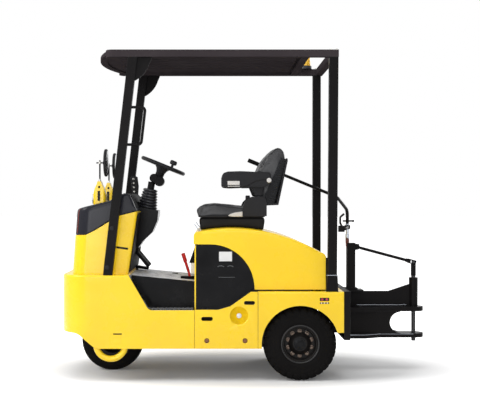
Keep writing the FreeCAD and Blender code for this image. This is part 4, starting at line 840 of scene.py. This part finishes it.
# the cap's edges are softened; its lower edge and rear stay as in CAD
capSeam = dict(voxel=0.008, passes=16, middle=(0.93, 0.0), shrink=0.965, keep=0.016, rear=0.742, rearTop=1.112)
softCap = bareCopy("softCap", "cowl_cap", capSeam["voxel"], 0.0)


# true where the cap keeps its shape
def nearSeam(point):
    inward = [middle + (value - middle) * capSeam["shrink"] for value, middle in zip(point, capSeam["middle"])]
    try:
        place, _ = surfaceAt("cowl_cap", (inward[0], inward[1], 0.5), (0, 0, 1))
    except ValueError:
        return True
    return point.z - place.z < capSeam["keep"] or (point.x < capSeam["rear"] and point.z < capSeam["rearTop"])


relax(softCap, capSeam["passes"], nearSeam)
subdivide(softCap)
dressSkin(softCap, "cowl_cap", "capBlack", "chassis")
print("cap done, faces:", len(softCap.data.polygons))


# a blank label, bent to the surface below it
def addSticker(shape, nodeName, middle, size, way, slope, thick):
    def layers(rise, run):
        u, v = (run - 0.5) * size[0], (rise - 0.5) * size[1]
        x = middle[0] + u * math.cos(slope) - v * math.sin(slope)
        z = middle[1] + u * math.sin(slope) + v * math.cos(slope)
        place, _ = surfaceAt(nodeName, (x, way * 0.6, z), (0, -way, 0))
        return place + Vector((0, way * thick, 0)), place - Vector((0, way * 0.0002, 0))

    addSkin(shape, 8, 8, layers)


plainSticker = dict(finish="coverBlack", slot="black_plastic", body="chassis", slope=0.0, thick=0.0004)
stickers = dict(
    hoodPlate=dict(node="side_cover_{}", middle=(0.152, 0.797), size=(0.084, 0.062), finish="paleLabel",
                   slot="soft_black_plastic"),
    cowlStrip=dict(node="front_cowl", middle=(0.823, 0.85), size=(0.078, 0.013), slope=0.13),
    skirtStrip=dict(node="front_body", middle=(0.843, 0.3055), size=(0.055, 0.008)),
    skirtPlate=dict(node="front_body", middle=(0.85, 0.262), size=(0.058, 0.04), finish="bodyYellow",
                    slot="yellow_paint"),
    fenderPlate=dict(node="rear_fender_{}", middle=(-0.4795, 0.5265), size=(0.06, 0.021), thick=0.0001),
    fenderStrip=dict(node="rear_fender_{}", middle=(-0.4795, 0.503), size=(0.06, 0.009), thick=0.0001),
    armPlate=dict(node="armrest_{}", middle=(0.097, 1.274), size=(0.08, 0.026), finish="seatTrim",
                  slot="soft_black_plastic", body="hood"),
    armStripe=dict(node="armrest_{}", middle=(0.096, 1.2525), size=(0.08, 0.005), finish="seatTrim",
                   slot="soft_black_plastic", body="hood"))
for name, changes in stickers.items():
    spec = {**plainSticker, **changes}
    for side, way in sides:
        fitting(name + "_" + side, spec["finish"],
                [(addSticker, spec["node"].format(side), spec["middle"], spec["size"], way, spec["slope"],
                  spec["thick"])], spec["body"])
print("labels done, all blank")


# headlamps and mirrors; a profile is (along, radius)
headlamp = dict(
    height=1.168, across=0.28, strapOut=0.0418, strapX=0.983, strapHalf=0.008, strapLow=1.156, strapHigh=1.222,
    boltHigh=1.247,
    bezel=[(-0.002, 0.033), (0.004, 0.0335), (0.006, 0.0325), (0.006, 0.0285), (0.0035, 0.0275)],
    lens=[(0.003, 0.028), (0.0055, 0.0275), (0.0085, 0.022), (0.0105, 0.012), (0.011, 0.001)])
mirror = dict(
    x=0.981, height=1.407, faceX=0.9301, radius=0.08, stalkLow=1.2842, stalk=[(0.0003, 0.0052), (0.1203, 0.0052)],
    joint=[(-0.0095, 0.003), (-0.008, 0.0075), (-0.003, 0.0095), (0.003, 0.0095), (0.008, 0.0075), (0.0095, 0.003)],
    nut=[(-0.002, 0.01), (0.006, 0.01), (0.009, 0.007), (0.016, 0.0065), (0.018, 0.0045)])

for side, way in sides:
    y = headlamp["across"] * way
    place, _ = surfaceAt("headlamp_" + side, (1.3, y, headlamp["height"]), (-1, 0, 0))
    for name, part, finish in (("lampBezel_", "bezel", "zincSteel"), ("lampLens_", "lens", "clearLens")):
        fitting(name + side, finish, [(addTurned, headlamp[part], place, (1, 0, 0), 40)])
    x, half = headlamp["strapX"], headlamp["strapHalf"]
    outline = [(x - half, headlamp["strapLow"]), (x + half, headlamp["strapLow"]),
               (x + half, headlamp["strapHigh"]), (x - half, headlamp["strapHigh"])]
    strap = []
    for outward in ways:
        face = y + outward * headlamp["strapOut"]
        strap += [(addPlate, [(x, face, z) for x, z in outline], (0, outward, 0), 0.0022, 0.0009),
                  (addDomeBolt, (headlamp["strapX"] - 0.002, face, headlamp["boltHigh"]), (0, outward, 0), 0.0075)]
    fitting("lampBracket_" + side, "coverBlack", strap)
    outline = [(mirror["faceX"], y + mirror["radius"] * math.cos(angle),
                mirror["height"] + mirror["radius"] * math.sin(angle)) for angle in aroundTurn(48)]
    fitting("mirrorGlass_" + side, "mirrorGlass", [(addPlate, outline, (-1, 0, 0), 0.0004, 0)])
    fitting("mirrorStalk_" + side, "dashBlack",
            [(addTurned, mirror["stalk"], (mirror["x"], y, mirror["stalkLow"]), (0, 0, 1), 14)])
    fitting("mirrorJoint_" + side, "zincSteel",
            [(addTurned, mirror["joint"], (mirror["x"], y, mirror["height"]), (1, 0, 0), 20),
             (addTurned, mirror["nut"], (mirror["x"], y, mirror["stalkLow"]), (0, 0, 1), 6)])

beacon = dict(height=2.124, foot=[(0.0003, 0.044), (0.018, 0.044), (0.0215, 0.0425), (0.0225, 0.0385)],
              lens=[(0.0225, 0.037), (0.03, 0.0368), (0.096, 0.03), (0.106, 0.027), (0.1105, 0.018),
                    (0.1116, 0.004)],
              core=[(0.024, 0.02), (0.03, 0.02), (0.032, 0.012), (0.08, 0.012), (0.084, 0.008)])
foot = boxMiddle("beacon")
foot.z = beacon["height"]
for name, finish, slotName in (("foot", "bootRubber", "black_rubber"), ("lens", "amberLens", "amber_lens"),
                               ("core", "zincSteel", "amber_lens")):
    fitting("beacon" + name.capitalize(), finish, [(addTurned, beacon[name], foot, (0, 0, 1), 48)],
            "chassis", "beacon" if name == "foot" else None)

# a thin red strip down each corner of the cap
cornerStrip = dict(top=1.105, step=0.0155, steps=11, turns=(0.357, 0.364), proud=0.002, sunk=0.0005)
strip = bmesh.new()
for way in ways:
    for rise in range(cornerStrip["steps"]):
        z = cornerStrip["top"] - cornerStrip["step"] * rise
        rows = []
        for height in (z, z - cornerStrip["step"]):
            for turn in cornerStrip["turns"]:
                place, normal = surfaceAt(softCap, (1.4, way * turn, height), (-1, 0, 0))
                rows += [place + normal * cornerStrip["proud"], place - normal * cornerStrip["sunk"]]
        a, aIn, b, bIn, c, cIn, e, eIn = [strip.verts.new(point) for point in rows]
        for loop in ((a, b, e, c), (aIn, cIn, eIn, bIn), (a, c, cIn, aIn), (b, bIn, eIn, e)):
            strip.faces.new(loop)
bmesh.ops.remove_doubles(strip, verts=strip.verts[:], dist=0.00001)
finishMesh("cornerReflectors", strip, "reflectorRed", "chassis")

# small red spots and pale keys on the fender's label
fenderSpots = dict(red=(-0.465, -0.494), keys=(-0.46, -0.479, -0.498))
spot = [(0, 0.0085), (0.0005, 0.0085), (0.0009, 0.007), (0.001, 0.001)]
fitting("fenderReflectors", "lampRed",
        [(addTurned, spot, (x, way * 0.4994, 0.5265), (0, way, 0), 24)
         for way in ways for x in fenderSpots["red"]])
fitting("fenderKeys", "paleLabel",
        [(addBox, (x - 0.004, way * 0.4996 - 0.0008, 0.4995), (x + 0.004, way * 0.4996 + 0.0008, 0.5065), 0.0002)
         for way in ways for x in fenderSpots["keys"]])
print("lamps done")


# side panels with a shallow dish and two plug recesses pressed in
panelPress = dict(dish=(0.066, 0.421), dishRadius=0.062, dishDepth=0.011, plugs=(0.272, 0.028), plugHeight=0.262,
                  plugRadius=0.0165, plugDepth=0.0065)

for side, way in sides:
    spec, face = panelPress, way * 0.5
    reach, deep = spec["dishRadius"], spec["dishDepth"]
    cutter = bmesh.new()
    profile = [(-deep + deep * (share / 12) ** 2, max(0.0005, reach * share / 12)) for share in range(0, 13)]
    addTurned(cutter, profile + [(0.004, reach * 1.02)], (spec["dish"][0], face, spec["dish"][1]), (0, way, 0), 64)
    for x in spec["plugs"]:
        addTurned(cutter, [(-spec["plugDepth"], spec["plugRadius"] * 0.9), (-0.001, spec["plugRadius"]),
                           (0.004, spec["plugRadius"] * 1.05)], (x, face, spec["plugHeight"]), (0, way, 0), 32)
    tool = newPiece("pressTool", meshOf("pressTool", cutter))
    panel = newPiece("pressedPanel_" + side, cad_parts["side_panel_" + side].data.copy())
    press = panel.modifiers.new("press", "BOOLEAN")
    press.operation = "DIFFERENCE"
    press.object = tool
    applyModifiers(panel)
    bpy.data.objects.remove(tool)
    shadeSmooth(panel, 28)
    putOn(panel, "chassis", "side_panel_" + side)


# rear posts lean a little: shift at the foot, shift at the head
postLean = dict(foot=0.583, head=2.078, left=(0.0125, 0.002), right=(0.014, 0.013))
gapShadeStrips = []
for side, way in sides:
    post = newPiece("rearPost_" + side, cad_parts["rear_pillar_" + side].data.copy())
    footShift, headShift = postLean[side]
    for vert in post.data.vertices:
        drop = max(0.0, min(1.0, (postLean["head"] - vert.co.z) / (postLean["head"] - postLean["foot"])))
        vert.co.x += headShift * (1 - drop) + footShift * drop
    putOn(post, "chassis", "rear_pillar_" + side)
    # a black strip in the gap between the hood and each rear post: painted shade of the hood's rear edge
    gapShadeStrips.append((addBox, (-0.5035, way * 0.4495 - 0.003, 0.6), (-0.493, way * 0.4495 + 0.003, 0.79), 0.001))
fitting("postGapShade", "frameBlack", gapShadeStrips)


# bolts and plugs on the body, with painted shade in the panel seams and painted highlights in the dishes and along
# the step edges
bodyBolts = dict(pillars=((0.878, 0.98), (0.909, 0.73)), pillarBolt=0.015, roof=(-0.562, -0.524), roofBolt=0.013,
                 mount=(0.3, 0.42, 0.54), mountBolt=0.019)
fitting("pillarCaps", "mouldedBlack",
        [(addDomeBolt, (x, way * 0.492, z), (0, way, 0), bodyBolts["pillarBolt"])
         for x, z in bodyBolts["pillars"] for way in ways])
fitting("skirtPlugs", "fadedPlug",
        [(addDomeBolt, (x, way * 0.4925, 0.262), (0, way, 0), 0.014) for x in panelPress["plugs"] for way in ways])
fitting("plugSeats", "fadedPlug",
        [(addTurned, [(0, 0.0158), (0.006, 0.016)], (x, way * 0.4872, 0.262), (0, way, 0), 24)
         for way in ways for x in panelPress["plugs"]])
# a pale disc in the bottom of each dish: a painted glint
fitting("dishGlints", "paleLabel",
        [(addTurned, [(0, 0.0165), (0.003, 0.016), (0.0055, 0.012), (0.0065, 0.002)],
          (panelPress["dish"][0], way * 0.4885, panelPress["dish"][1]), (0, way, 0), 28) for way in ways])
# darker yellow strips in the panel seams: painted shade
fitting("seamShadeStrips", "seamShadeYellow",
        [(addBox, (x - 0.0035, way * 0.4935 - 0.004, 0.2115), (x + 0.0035, way * 0.4935 + 0.004, 0.455))
         for way in ways for x in (0.3505, -0.055)])
# grey tubes along the step edges: painted highlights
fitting("stepEdgeHighlights", "highlightGrey",
        [(addTube, smoothPath([(0.676, way * 0.4955, 0.52), (0.648, way * 0.4955, 0.469),
                               (0.362, way * 0.4955, 0.469)], 0.015), 0.0032, 8) for way in ways])
fitting("roofBolts", "zincSteel",
        [(addHexBolt, (x, way * 0.47, 2.1238), (0, 0, 1), bodyBolts["roofBolt"])
         for x in bodyBolts["roof"] for way in ways])
fitting("mountBolts", "zincSteel",
        [(addHexBolt, (-0.6458, y, z), (-1, 0, 0), bodyBolts["mountBolt"])
         for y in (-0.1, 0.1) for z in bodyBolts["mount"]])


# dash panel and pad
dashSpan = dict(low=0.69, tall=0.386, half=0.378, proud=0.006, sunk=0.001)


def dashLayers(rise, run):
    start = (0.4, dashSpan["half"] * (2 * run - 1), dashSpan["low"] + dashSpan["tall"] * rise)
    place, _ = surfaceAt("front_cowl", start, (1, 0, 0))
    return place - Vector((dashSpan["proud"], 0, 0)), place + Vector((dashSpan["sunk"], 0, 0))


fitting("dashPanel", "dashBlack", [(addSkin, 16, 14, dashLayers)])
padSpot = dict(half=0.372, rear=0.735, step=0.0103, steps=9, rise=0.002, thick=0.004)
dashPad = bmesh.new()
rows = []
for across in (-padSpot["half"], padSpot["half"]):
    hits = [surfaceAt(softCap, (padSpot["rear"] + padSpot["step"] * step, across, 1.5), (0, 0, -1))
            for step in range(padSpot["steps"])]
    rows.append([place + normal * padSpot["rise"] for place, normal in hits])
for a, b, c, e in zip(rows[0], rows[0][1:], rows[1][1:], rows[1]):
    dashPad.faces.new([dashPad.verts.new(point) for point in (a, b, c, e)])
bmesh.ops.remove_doubles(dashPad, verts=dashPad.verts[:], dist=0.00001)
pushed = bmesh.ops.extrude_face_region(dashPad, geom=dashPad.faces[:])["geom"]
bmesh.ops.translate(dashPad, verts=[item for item in pushed if isinstance(item, bmesh.types.BMVert)],
                    vec=(0, 0, -padSpot["thick"]))
finishMesh("dashPad", dashPad, "dashBlack", "chassis")


def tilted(place, angle):
    return Matrix.Translation(place) @ Matrix.Rotation(angle, 4, "Y")


# pedals and treadle
pedal = dict(across=(-0.065, 0.065), foot=(0.6655, 0.7115), head=(0.748, 0.812), half=0.036, back=-0.004,
             face=0.017)
treadle = dict(x=0.745, y=-0.16, low=(-0.058, -0.04, -0.008), high=(0.036, 0.04, 0.008), lift=0.022, tilt=-9)
pads = []
for across in pedal["across"]:
    foot, head = [Vector((x, across, z)) for x, z in (pedal["foot"], pedal["head"])]
    half = (head - foot).length / 2
    pads.append((addBox, (pedal["back"], -pedal["half"], -half), (pedal["face"], pedal["half"], half), 0.004, 3,
                 tilted((foot + head) / 2, math.atan2(head.x - foot.x, head.z - foot.z))))
place, _ = surfaceAt("floor_plate", (treadle["x"], treadle["y"], 1.0), (0, 0, -1))
pads += [(addBox, treadle["low"], treadle["high"], 0.004, 3,
          tilted(place + Vector((0, 0, treadle["lift"])), math.radians(treadle["tilt"]))),
         (addBox, (0.762, -0.185, place.z - 0.002), (0.776, -0.135, place.z + 0.024), 0.003)]
fitting("pedalPads", "dashBlack", pads)

# parking lever's foot and sleeve, stays of the seat box, mat
place, _ = surfaceAt("parking_lever", (0.372, 0.19, 0.9), (0, 0, -1))
fitting("leverFoot", "dashBlack",
        [(addBox, (0.3575, 0.1675, 0.6345), (0.4495, 0.2125, place.z + 0.0015), 0.002)])
fitting("leverSleeve", "leverRed",
        [(addTube, [(0.4245, 0.19, 0.768), (0.397, 0.19, 0.682)], 0.0095, 14)])
fitting("boxGussets", "dashBlack",
        [sidePlate([(0.3515, 0.858), (0.3515, 0.748), (0.39, 0.748)], 0.3, way, 0.02, 0.001) for way in ways])
fitting("boxStays", "seatTrim",
        [sidePlate([(0.3515, 0.749), (0.378, 0.749), (0.378, 0.678), (0.3515, 0.678)], 0.302, way, 0.016, 0.001)
         for way in ways])
place, _ = surfaceAt("floor_plate", (0.504, -0.173, 1.0), (0, 0, -1))
fitting("matPatch", "dashBlack",
        [(addBox, (0.482, -0.205, place.z - 0.002), (0.526, -0.141, place.z + 0.0016), 0.0005)])

wheelCone = dict(hub=(0.577, 0, 1.397), lean=(-0.3746066, 0, 0.9271839),
                 profile=[(-0.066, 0.024), (-0.06, 0.027), (-0.03, 0.038), (-0.014, 0.052), (-0.008, 0.054),
                          (0.004, 0.046), (0.012, 0.03), (0.014, 0.004)])
fitting("wheelCone", "mouldedBlack",
        [(addTurned, wheelCone["profile"], wheelCone["hub"], wheelCone["lean"], 40)], "steering_wheel")

# two dished grip arcs and a line on each side cover, as grey tubes: painted highlights on the edges of the recessed
# grips and of a slot
coverGrip = dict(height=0.737, dip=0.006, spots=((0.1825, 0.021), (0.121, 0.019)), line=(0.092, 0.198, 0.663))
gripHighlights = []
for side, way in sides:
    cover, inward = "side_cover_" + side, (0, -way, 0)
    for x, half in coverGrip["spots"]:
        starts = [(x - along * half, way * 0.6, coverGrip["height"] - coverGrip["dip"] * along * along)
                  for along in [step / 6 - 1 for step in range(13)]]
        gripHighlights.append((addTube, surfaceLine(cover, starts, inward, 0.0005), 0.0026, 8))
    rear, front, height = coverGrip["line"]
    starts = [(rear + (front - rear) * step / 12, way * 0.6, height) for step in range(13)]
    gripHighlights.append((addTube, surfaceLine(cover, starts, inward, 0.0003), 0.0017, 8))
fitting("coverGripHighlights", "highlightGrey", gripHighlights)

# a pale weld line at each rear post's foot, and pale lines along the hitch bracket's plate edges that are painted
# highlights: (start, end, height)
bracketHighlights = ((-0.758, -1.098, 0.4395), (-0.665, -1.135, 0.2465))
weldAndHighlightParts = []
for way in ways:
    weldAndHighlightParts.append((addBox, (-0.571, way * 0.4938 - 0.0012, 0.6785), (-0.492, way * 0.4938 + 0.0012, 0.6815),
                  0.0008))
    for start, end, height in bracketHighlights:
        starts = [(start + (end - start) * step / 24, way * 0.6, height) for step in range(25)]
        weldAndHighlightParts.append((addTube, surfaceLine("hitch_bracket", starts, (0, -way, 0), 0.0005), 0.0018, 8))
fitting("weldAndHighlightLines", "shaftSteel", weldAndHighlightParts)

switchOutline = [(0.842, 1.33), (0.812, 1.342), (0.788, 1.33), (0.779, 1.262), (0.783, 1.202), (0.8, 1.186),
                 (0.826, 1.196)]
fitting("pillarSwitchPlate", "coverBlack",
        [(addPlate, [(x, -0.4462, z) for x, z in switchOutline], (0, 1, 0), 0.006)])
fitting("pillarSwitchScrews", "zincSteel",
        [(addDomeBolt, (0.818 - 0.002 * index, -0.44, 1.316 - 0.031 * index), (0, 1, 0), 0.0075)
         for index in range(5)])


# release linkage at the tail
rodPath = [(-0.2, -0.34, 1.3757), (-0.664, -0.34, 1.184), (-0.693, 0, 1.09), (-0.693, 0, 0.96)]
clevisOutline = [(-0.677, 0.894), (-0.683, 0.9), (-0.697, 0.9), (-0.701, 0.886), (-0.699, 0.834),
                 (-0.688, 0.828), (-0.679, 0.846)]
leg = (-0.693, 0, 0.866)
fitting("rodSleeve", "frameBlack",
        [(addTube, smoothPath(rodPath, 0.045, 10), 0.0112, 14),
         (addTube, [(-0.73, 0, 1.017), (-0.661, 0, 1.017)], 0.0058, 12)])
fitting("armKnuckle", "frameBlack",
        [(addTurned, [(-0.019, 0.014), (-0.017, 0.019), (0.017, 0.019), (0.019, 0.014)], (-0.758, 0, 0.838),
          (0, 1, 0), 28)])
fitting("pinLink", "frameBlack",
        [(addBox, (-1.165, -0.0042, 0.64), (-1.131, 0.0042, 0.722), 0.003)], "hitch_pin")
fitting("rodSteel", "shaftSteel",
        [(addTurned, [(0, 0.0104), (0.066, 0.0104)], (-0.693, 0, 0.896), (0, 0, 1), 20)])
fitting("leverCollars", "shaftSteel",
        [(addTurned, [(0.004, 0.0135), (0.06, 0.0135), (0.062, 0.012)], leg, (0, 0, 1), 24),
         (addTurned, [(0.118, 0.0125), (0.132, 0.0125), (0.134, 0.011)], leg, (0, 0, 1), 6)])
fitting("leverClevis", "clevisBrown", [sidePlate(clevisOutline, 0.02, 1, 0.007)])


# hood latches, seat trim, buckle and steps
latchPath = [(0.318, 0.955), (0.334, 0.972), (0.356, 1.004)]
trimOutline = [(0.133, 1.056), (0.118, 1.069), (0.085, 1.079), (0.036, 1.085), (0.036, 1.05), (0.11, 1.05)]
beltPath = [(-0.03, 0.2, 1.085), (-0.02, 0.198, 1.12), (-0.002, 0.195, 1.165)]
fitting("hoodLatches", "shaftSteel",
        [(addTube, smoothPath([(x, way * 0.3, z) for x, z in latchPath], 0.012), 0.0035, 10) for way in ways],
        "hood")
fitting("seatTrim", "seatTrim",
        [sidePlate(trimOutline, 0.227, way, 0.012, 0.003) for way in ways], "hood")
fitting("armPivotCaps", "seatTrim",
        [(addTurned, [(0, 0.016), (0.006, 0.016), (0.01, 0.013), (0.011, 0.002)], (-0.137, way * 0.287, 1.291),
          (0, way, 0), 28) for way in ways], "hood")
fitting("beltBuckle", "mouldedBlack",
        [(addBox, (-0.014, 0.185, 1.158), (0.016, 0.205, 1.192), 0.005),
         (addTube, smoothPath(beltPath, 0.02), 0.006, 10)], "hood")

stepTread = dict(rows=5, columns=9, rear=0.385, inner=0.356, height=0.4585, along=0.028, across=0.03, turn=35,
                 low=(-0.011, -0.0025, -0.0012), high=(0.011, 0.0025, 0.0022))
treads = []
for way in ways:
    for row in range(stepTread["rows"]):
        for column in range(stepTread["columns"]):
            place = (stepTread["rear"] + column * stepTread["along"],
                     way * (stepTread["inner"] + row * stepTread["across"]), stepTread["height"])
            lean = math.radians(stepTread["turn"] if (row + column) % 2 else -stepTread["turn"])
            treads.append((addBox, stepTread["low"], stepTread["high"], 0.001, 2,
                           Matrix.Translation(place) @ Matrix.Rotation(lean, 4, "Z")))
fitting("stepTreads", "coverBlack", treads)
stepOutline = [(0.362, 0.34), (0.628, 0.34), (0.628, 0.49), (0.362, 0.49)]
fitting("stepPlates", "shaftSteel",
        [(addPlate, [(x, way * y, 0.4568) for x, y in stepOutline], (0, 0, 1), 0.0016, 0.0006) for way in ways])
print("fittings done")


def addLamp(name, spec):
    light = bpy.data.lights.new(name, "AREA")
    light.shape = "RECTANGLE"
    light.size, light.size_y = spec["size"]
    light.energy = spec["watts"]
    light.color = spec["color"]
    lamp = newPiece(name, light)
    lamp.location = spec["place"]
    lamp.rotation_euler = (Vector(spec["target"]) - lamp.location).to_track_quat("-Z", "Y").to_euler()
    lamp.visible_camera = False


room = dict(floorTone=0.8, shadowGlow=0.05, shadowReach=(1.55, 0.85, 1.0), shadowEdge=(0.7, 1.45),
            worldLight=0.36)
lamps = {
    "topSoftbox": dict(place=(0.3, 1.0, 5.2), target=(0, 0, 0.8), size=(5, 4), watts=150, color=(1, 1, 1)),
    "noseSoftbox": dict(place=(4.6, 1.8, 3.4), target=(0.8, 0, 0.9), size=(2.6, 2.6), watts=160,
                        color=(1, 0.99, 0.97)),
    "sideSoftbox": dict(place=(0.9, 6.6, 2.4), target=(0.1, 0, 0.9), size=(4.6, 3), watts=118,
                        color=(0.97, 0.98, 1)),
    "frontStrip": dict(place=(2.5, 6.5, 0.75), target=(1.0, 0, 0.9), size=(1.9, 1.2), watts=36, color=(1, 1, 1)),
    "backSoftbox": dict(place=(-3.5, -4.0, 3.4), target=(0, 0, 1.0), size=(4, 3), watts=120, color=(1, 1, 1)),
}
for name, spec in lamps.items():
    addLamp(name, spec)


# the room is white to the camera, in mirrors and through glass, and dimmer as light
def seenDirectly(tree):
    path = addNode(tree, "ShaderNodeLightPath").outputs
    either = math2(tree, "ADD", path["Is Camera Ray"], path["Is Glossy Ray"], True)
    return math2(tree, "ADD", either, path["Is Transmission Ray"], True)


world = bpy.data.worlds.new("paleStudio")
scene.world = world
world.use_nodes = True
sky = world.node_tree
seen = seenDirectly(sky)
background = sky.nodes["Background"]
background.inputs["Color"].default_value = (1, 1, 1, 1)
sky.links.new(spread(sky, seen, 0.0, 1.0, room["worldLight"], 1.0), background.inputs["Strength"])

floorMaterial, tree, shader = newMaterial("paleFloor")
place = objectPlace(tree)
# the floor glows white away from the shadow
shrunk = addNode(tree, "ShaderNodeVectorMath", {0: place, 1: room["shadowReach"]}, operation="DIVIDE").outputs[0]
away = addNode(tree, "ShaderNodeVectorMath", {0: shrunk}, operation="LENGTH").outputs["Value"]
glow = spread(tree, away, *room["shadowEdge"], room["shadowGlow"], 1.0)
tone = room["floorTone"]
setInputs(tree, shader, {
    "Base Color": blendColors(tree, noiseOf(tree, place, 6.0, 5.0), (tone,) * 3, (tone * 0.97,) * 3),
    "Roughness": 0.9, "Specular IOR Level": 0.0, "Emission Color": opaque((1, 1, 1)),
    "Emission Strength": math2(tree, "MULTIPLY", seenDirectly(tree), glow)})
shape = bmesh.new()
bmesh.ops.create_grid(shape, x_segments=8, y_segments=8, size=60)
mesh = bpy.data.meshes.new("studioFloor")
shape.to_mesh(mesh)
shape.free()
floor = newPiece("studioFloor", mesh)
floor.location = (0, 0, -0.0005)
floor.data.materials.append(floorMaterial)

# level camera on the left, far enough for a long lens
cameraView = dict(place=(0.226, 6.75, 1.162), turn=(90, 0, 180), lens=73.4, shift=(0.054, -0.021))
lensData = bpy.data.cameras.new("sideView")
lensData.lens = cameraView["lens"]
lensData.sensor_width = 36
lensData.shift_x, lensData.shift_y = cameraView["shift"]
lensData.clip_end = 200
camera = newPiece("sideView", lensData)
camera.location = cameraView["place"]
camera.rotation_euler = [math.radians(angle) for angle in cameraView["turn"]]
scene.camera = camera
scene.view_settings.view_transform = "Standard"
print("room and camera done")
